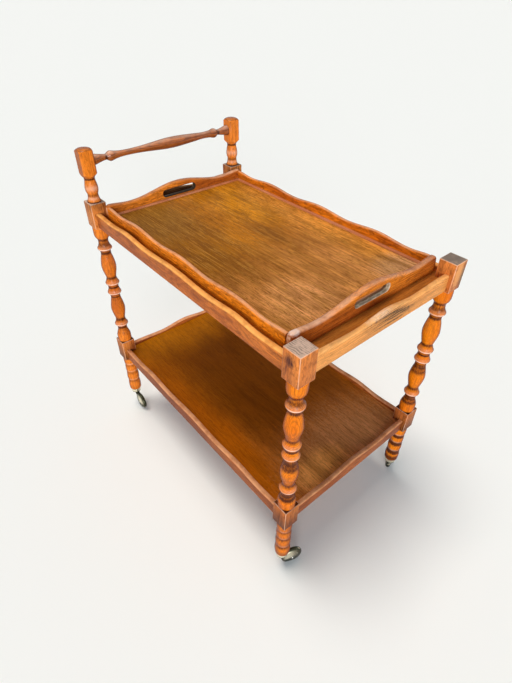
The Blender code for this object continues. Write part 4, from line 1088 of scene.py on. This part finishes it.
def cast_fork():
    """Hood, arm, flange and stem of a caster, run together as one casting."""
    hood, hollow = (
        turn_lens(name, [((HOOD_HALF - wall) * place, (HOOD_RADIUS - wall) * radius)
                         for place, radius in HOOD_LENS], 72)
        for name, wall in (("fork", 0), ("hollow", HOOD_WALL)))
    combine(hood, "UNION", cast_arm())
    combine(hood, "DIFFERENCE", hollow)
    wide = HOOD_RADIUS * 2
    mouth = saw_block("mouth", (-wide, -wide, -wide * 2), (wide, wide, HOOD_MOUTH), 0.001)
    mouth.rotation_euler = (0, math.radians(MOUTH_TILT), 0)
    mouth.location = AXLE_PLACE
    combine(hood, "DIFFERENCE", mouth)
    combine(hood, "UNION", turn("flange", flow(FLANGE_PROFILE)))
    combine(hood, "UNION", turn("stem", STEM_PROFILE, steps=24))
    shape_with(hood, "REMESH", mode="VOXEL", voxel_size=FORK_GRAIN, use_smooth_shade=True)
    shape_with(hood, "SMOOTH", factor=0.5, iterations=4)
    return hood


def brass(name, light, dark, rough, patina):
    """Old brass: bright where rubbed and where a highlight is painted, dark olive patina elsewhere.
    """
    made, tree, shader = start_material(name, rough, metallic=1.0)
    where = object_place(tree)
    mottle = stretched_noise(where, (190, 190, 190), 4, 0.6)
    broad = stretched_noise(where, (60, 60, 60), 3)
    old = step_up(plus(times(mottle, 0.5), times(broad, 0.5)), *patina)
    old = calc("SUBTRACT", old, value_of(tree, "worn"), clamp=True)
    feed(shader.inputs["Roughness"], plus(times(old, 0.16), rough))
    surface(shader, tint(old, light, dark), mottle, 0.12, 0.0003)
    return made


def hood_highlight(place, turned_by, middle):
    """Rule for a painted highlight on a hood's upper face, brightest round a place along it."""
    ahead = Vector((math.cos(turned_by), math.sin(turned_by), 0))
    ring, half_width, foot, climb, spread = HOOD_HIGHLIGHT_SHARES

    def rule(spot):
        along = ((spot - place).dot(ahead) - TRAIL) / HOOD_RADIUS
        rise = (spot.z - AXLE_HEIGHT) / HOOD_RADIUS
        face = 1 - min(1, (abs(math.hypot(along, rise) - ring) / half_width) ** 3)
        return face * hold((rise - foot) / climb) * bell(along, middle, spread)
    return rule


aged_brass = brass("aged_brass", (0.86, 0.80, 0.60), (0.052, 0.052, 0.032), 0.20, (0.30, 0.46))
dark_brass = brass("dark_brass", (0.22, 0.21, 0.15), (0.035, 0.035, 0.025), 0.30, (0.32, 0.50))
steel = brass("rivet_steel", (0.88, 0.86, 0.80), (0.20, 0.19, 0.16), 0.16, (0.46, 0.60))
fork = cast_fork()
socket = turn("socket", flow(SOCKET_PROFILE))
wheel = turn_lens("wheel", flow(WHEEL_LENS), 64)
axle = turn_lens("axle", flow(RIVET, 2), 32)
# The socket's rim is rubbed bright above this height, over this rise
RIM_BRIGHT = (0.0545, 0.0025)
paint(socket, "worn", lambda spot: hold((spot.z - RIM_BRIGHT[0]) / RIM_BRIGHT[1]))
for piece, metal, angle in ((fork, aged_brass, 60), (socket, aged_brass, 40),
                            (wheel, dark_brass, 40), (axle, steel, 40)):
    piece.data.materials.append(metal)
    smooth(piece, angle)
for corner, (x, y, heading, brightest) in CASTERS.items():
    turned_by = math.radians(heading)
    for piece, body, slot in ((socket, "frame", "aged_brass"),
                              (fork, f"{corner}_swivel", "aged_brass"),
                              (wheel, f"{corner}_wheel", "dark_brass"),
                              (axle, f"{corner}_swivel", "dark_brass")):
        placed = copy_piece(piece, f"{corner}_{piece.name}_metal", (x, y, 0), turned_by)
        fit(placed, body, f"{corner}_caster_{piece.name}", slot)
        # Painted highlight on the hood, brightest at its own place for each caster
        if piece == fork:
            paint(placed, "worn", hood_highlight(Vector((x, y, 0)), turned_by, brightest))
for piece in (fork, socket, wheel, axle):
    bpy.data.objects.remove(piece, do_unlink=True)


# Studio. A wide pale floor under a soft sky whose light is palest at the horizon and which looks
# pale all over, a broad key light overhead from the rear of the cart, and a low fill from the
# camera's side.

FLOOR_COLOUR = (0.898, 0.900, 0.878)
HORIZON = (0.890, 0.900, 0.885)
OVERHEAD = (0.105, 0.150, 0.205)
BACKDROP = (0.900, 0.905, 0.880)
KEY_COLOUR = (1.0, 0.945, 0.865)
FILL_COLOUR = (0.95, 0.98, 1.0)
floor = begin("studio_floor", bpy.ops.mesh.primitive_plane_add, size=400, location=(0, 0, 0))
floor_paint, _, floor_shader = start_material("floor_paint", 0.9, specular=0.0)
feed(floor_shader.inputs["Base Color"], FLOOR_COLOUR)
floor.data.materials.append(floor_paint)

world = bpy.data.worlds.new("studio_sky")
bpy.context.scene.world = world
world.use_nodes = True
sky = world.node_tree
sky.nodes.clear()
height = axis_of(add_node(sky, "ShaderNodeTexCoord").outputs["Generated"], "Z")
rays = add_node(sky, "ShaderNodeLightPath").outputs
seen = calc("MAXIMUM", rays["Is Camera Ray"], rays["Is Glossy Ray"])
seen = calc("MAXIMUM", seen, rays["Is Transmission Ray"])
lit = tint(step_up(height, 0.18, 0.55), HORIZON, OVERHEAD)
dome = add_node(sky, "ShaderNodeBackground", {"Color": tint(seen, lit, BACKDROP)})
add_node(sky, "ShaderNodeOutputWorld", {"Surface": dome.outputs[0]})


def direction(azimuth, elevation):
    """Unit vector with its azimuth in degrees from +X towards +Y, and its elevation."""
    across, rise = math.radians(azimuth), math.radians(elevation)
    return Vector((math.cos(across) * math.cos(rise), math.sin(across) * math.cos(rise),
                   math.sin(rise)))


def studio_sun(name, azimuth, elevation, strength, spread, colour):
    """Broad lamp, placed by the direction that its light comes from."""
    bpy.ops.object.select_all(action="DESELECT")
    bpy.ops.object.light_add(type="SUN")
    lamp = bpy.context.object
    lamp.name = name
    lamp.data.energy = strength
    lamp.data.angle = math.radians(spread)
    lamp.data.color = colour
    lamp.rotation_euler = direction(azimuth, elevation).to_track_quat("Z", "Y").to_euler()


studio_sun("key", 212, 77, 2.16, 27, KEY_COLOUR)
studio_sun("fill", -35, 8, 2.85, 32, FILL_COLOUR)

CAMERA_PLACE = (0.6927, -0.5883, 1.1196)
# How far round from -Y towards +X the camera stands, how steeply it looks down, and its roll
CAMERA_AZIMUTH = 49.45
CAMERA_ELEVATION = 39.66
CAMERA_ROLL = 0.66
CAMERA_LENS = 24.18
bpy.ops.object.camera_add(location=CAMERA_PLACE)
camera = bpy.context.object
camera.data.lens = CAMERA_LENS
roll = math.radians(CAMERA_ROLL)
back = direction(CAMERA_AZIMUTH - 90, CAMERA_ELEVATION)
level = (-back).cross(Vector((0, 0, 1))).normalized()
upright = level.cross(-back)
right = level * math.cos(roll) + upright * math.sin(roll)
up = upright * math.cos(roll) - level * math.sin(roll)
camera.rotation_euler = Matrix((right, up, back)).transposed().to_euler()
bpy.context.scene.camera = camera
bpy.context.scene.view_settings.view_transform = "Standard"
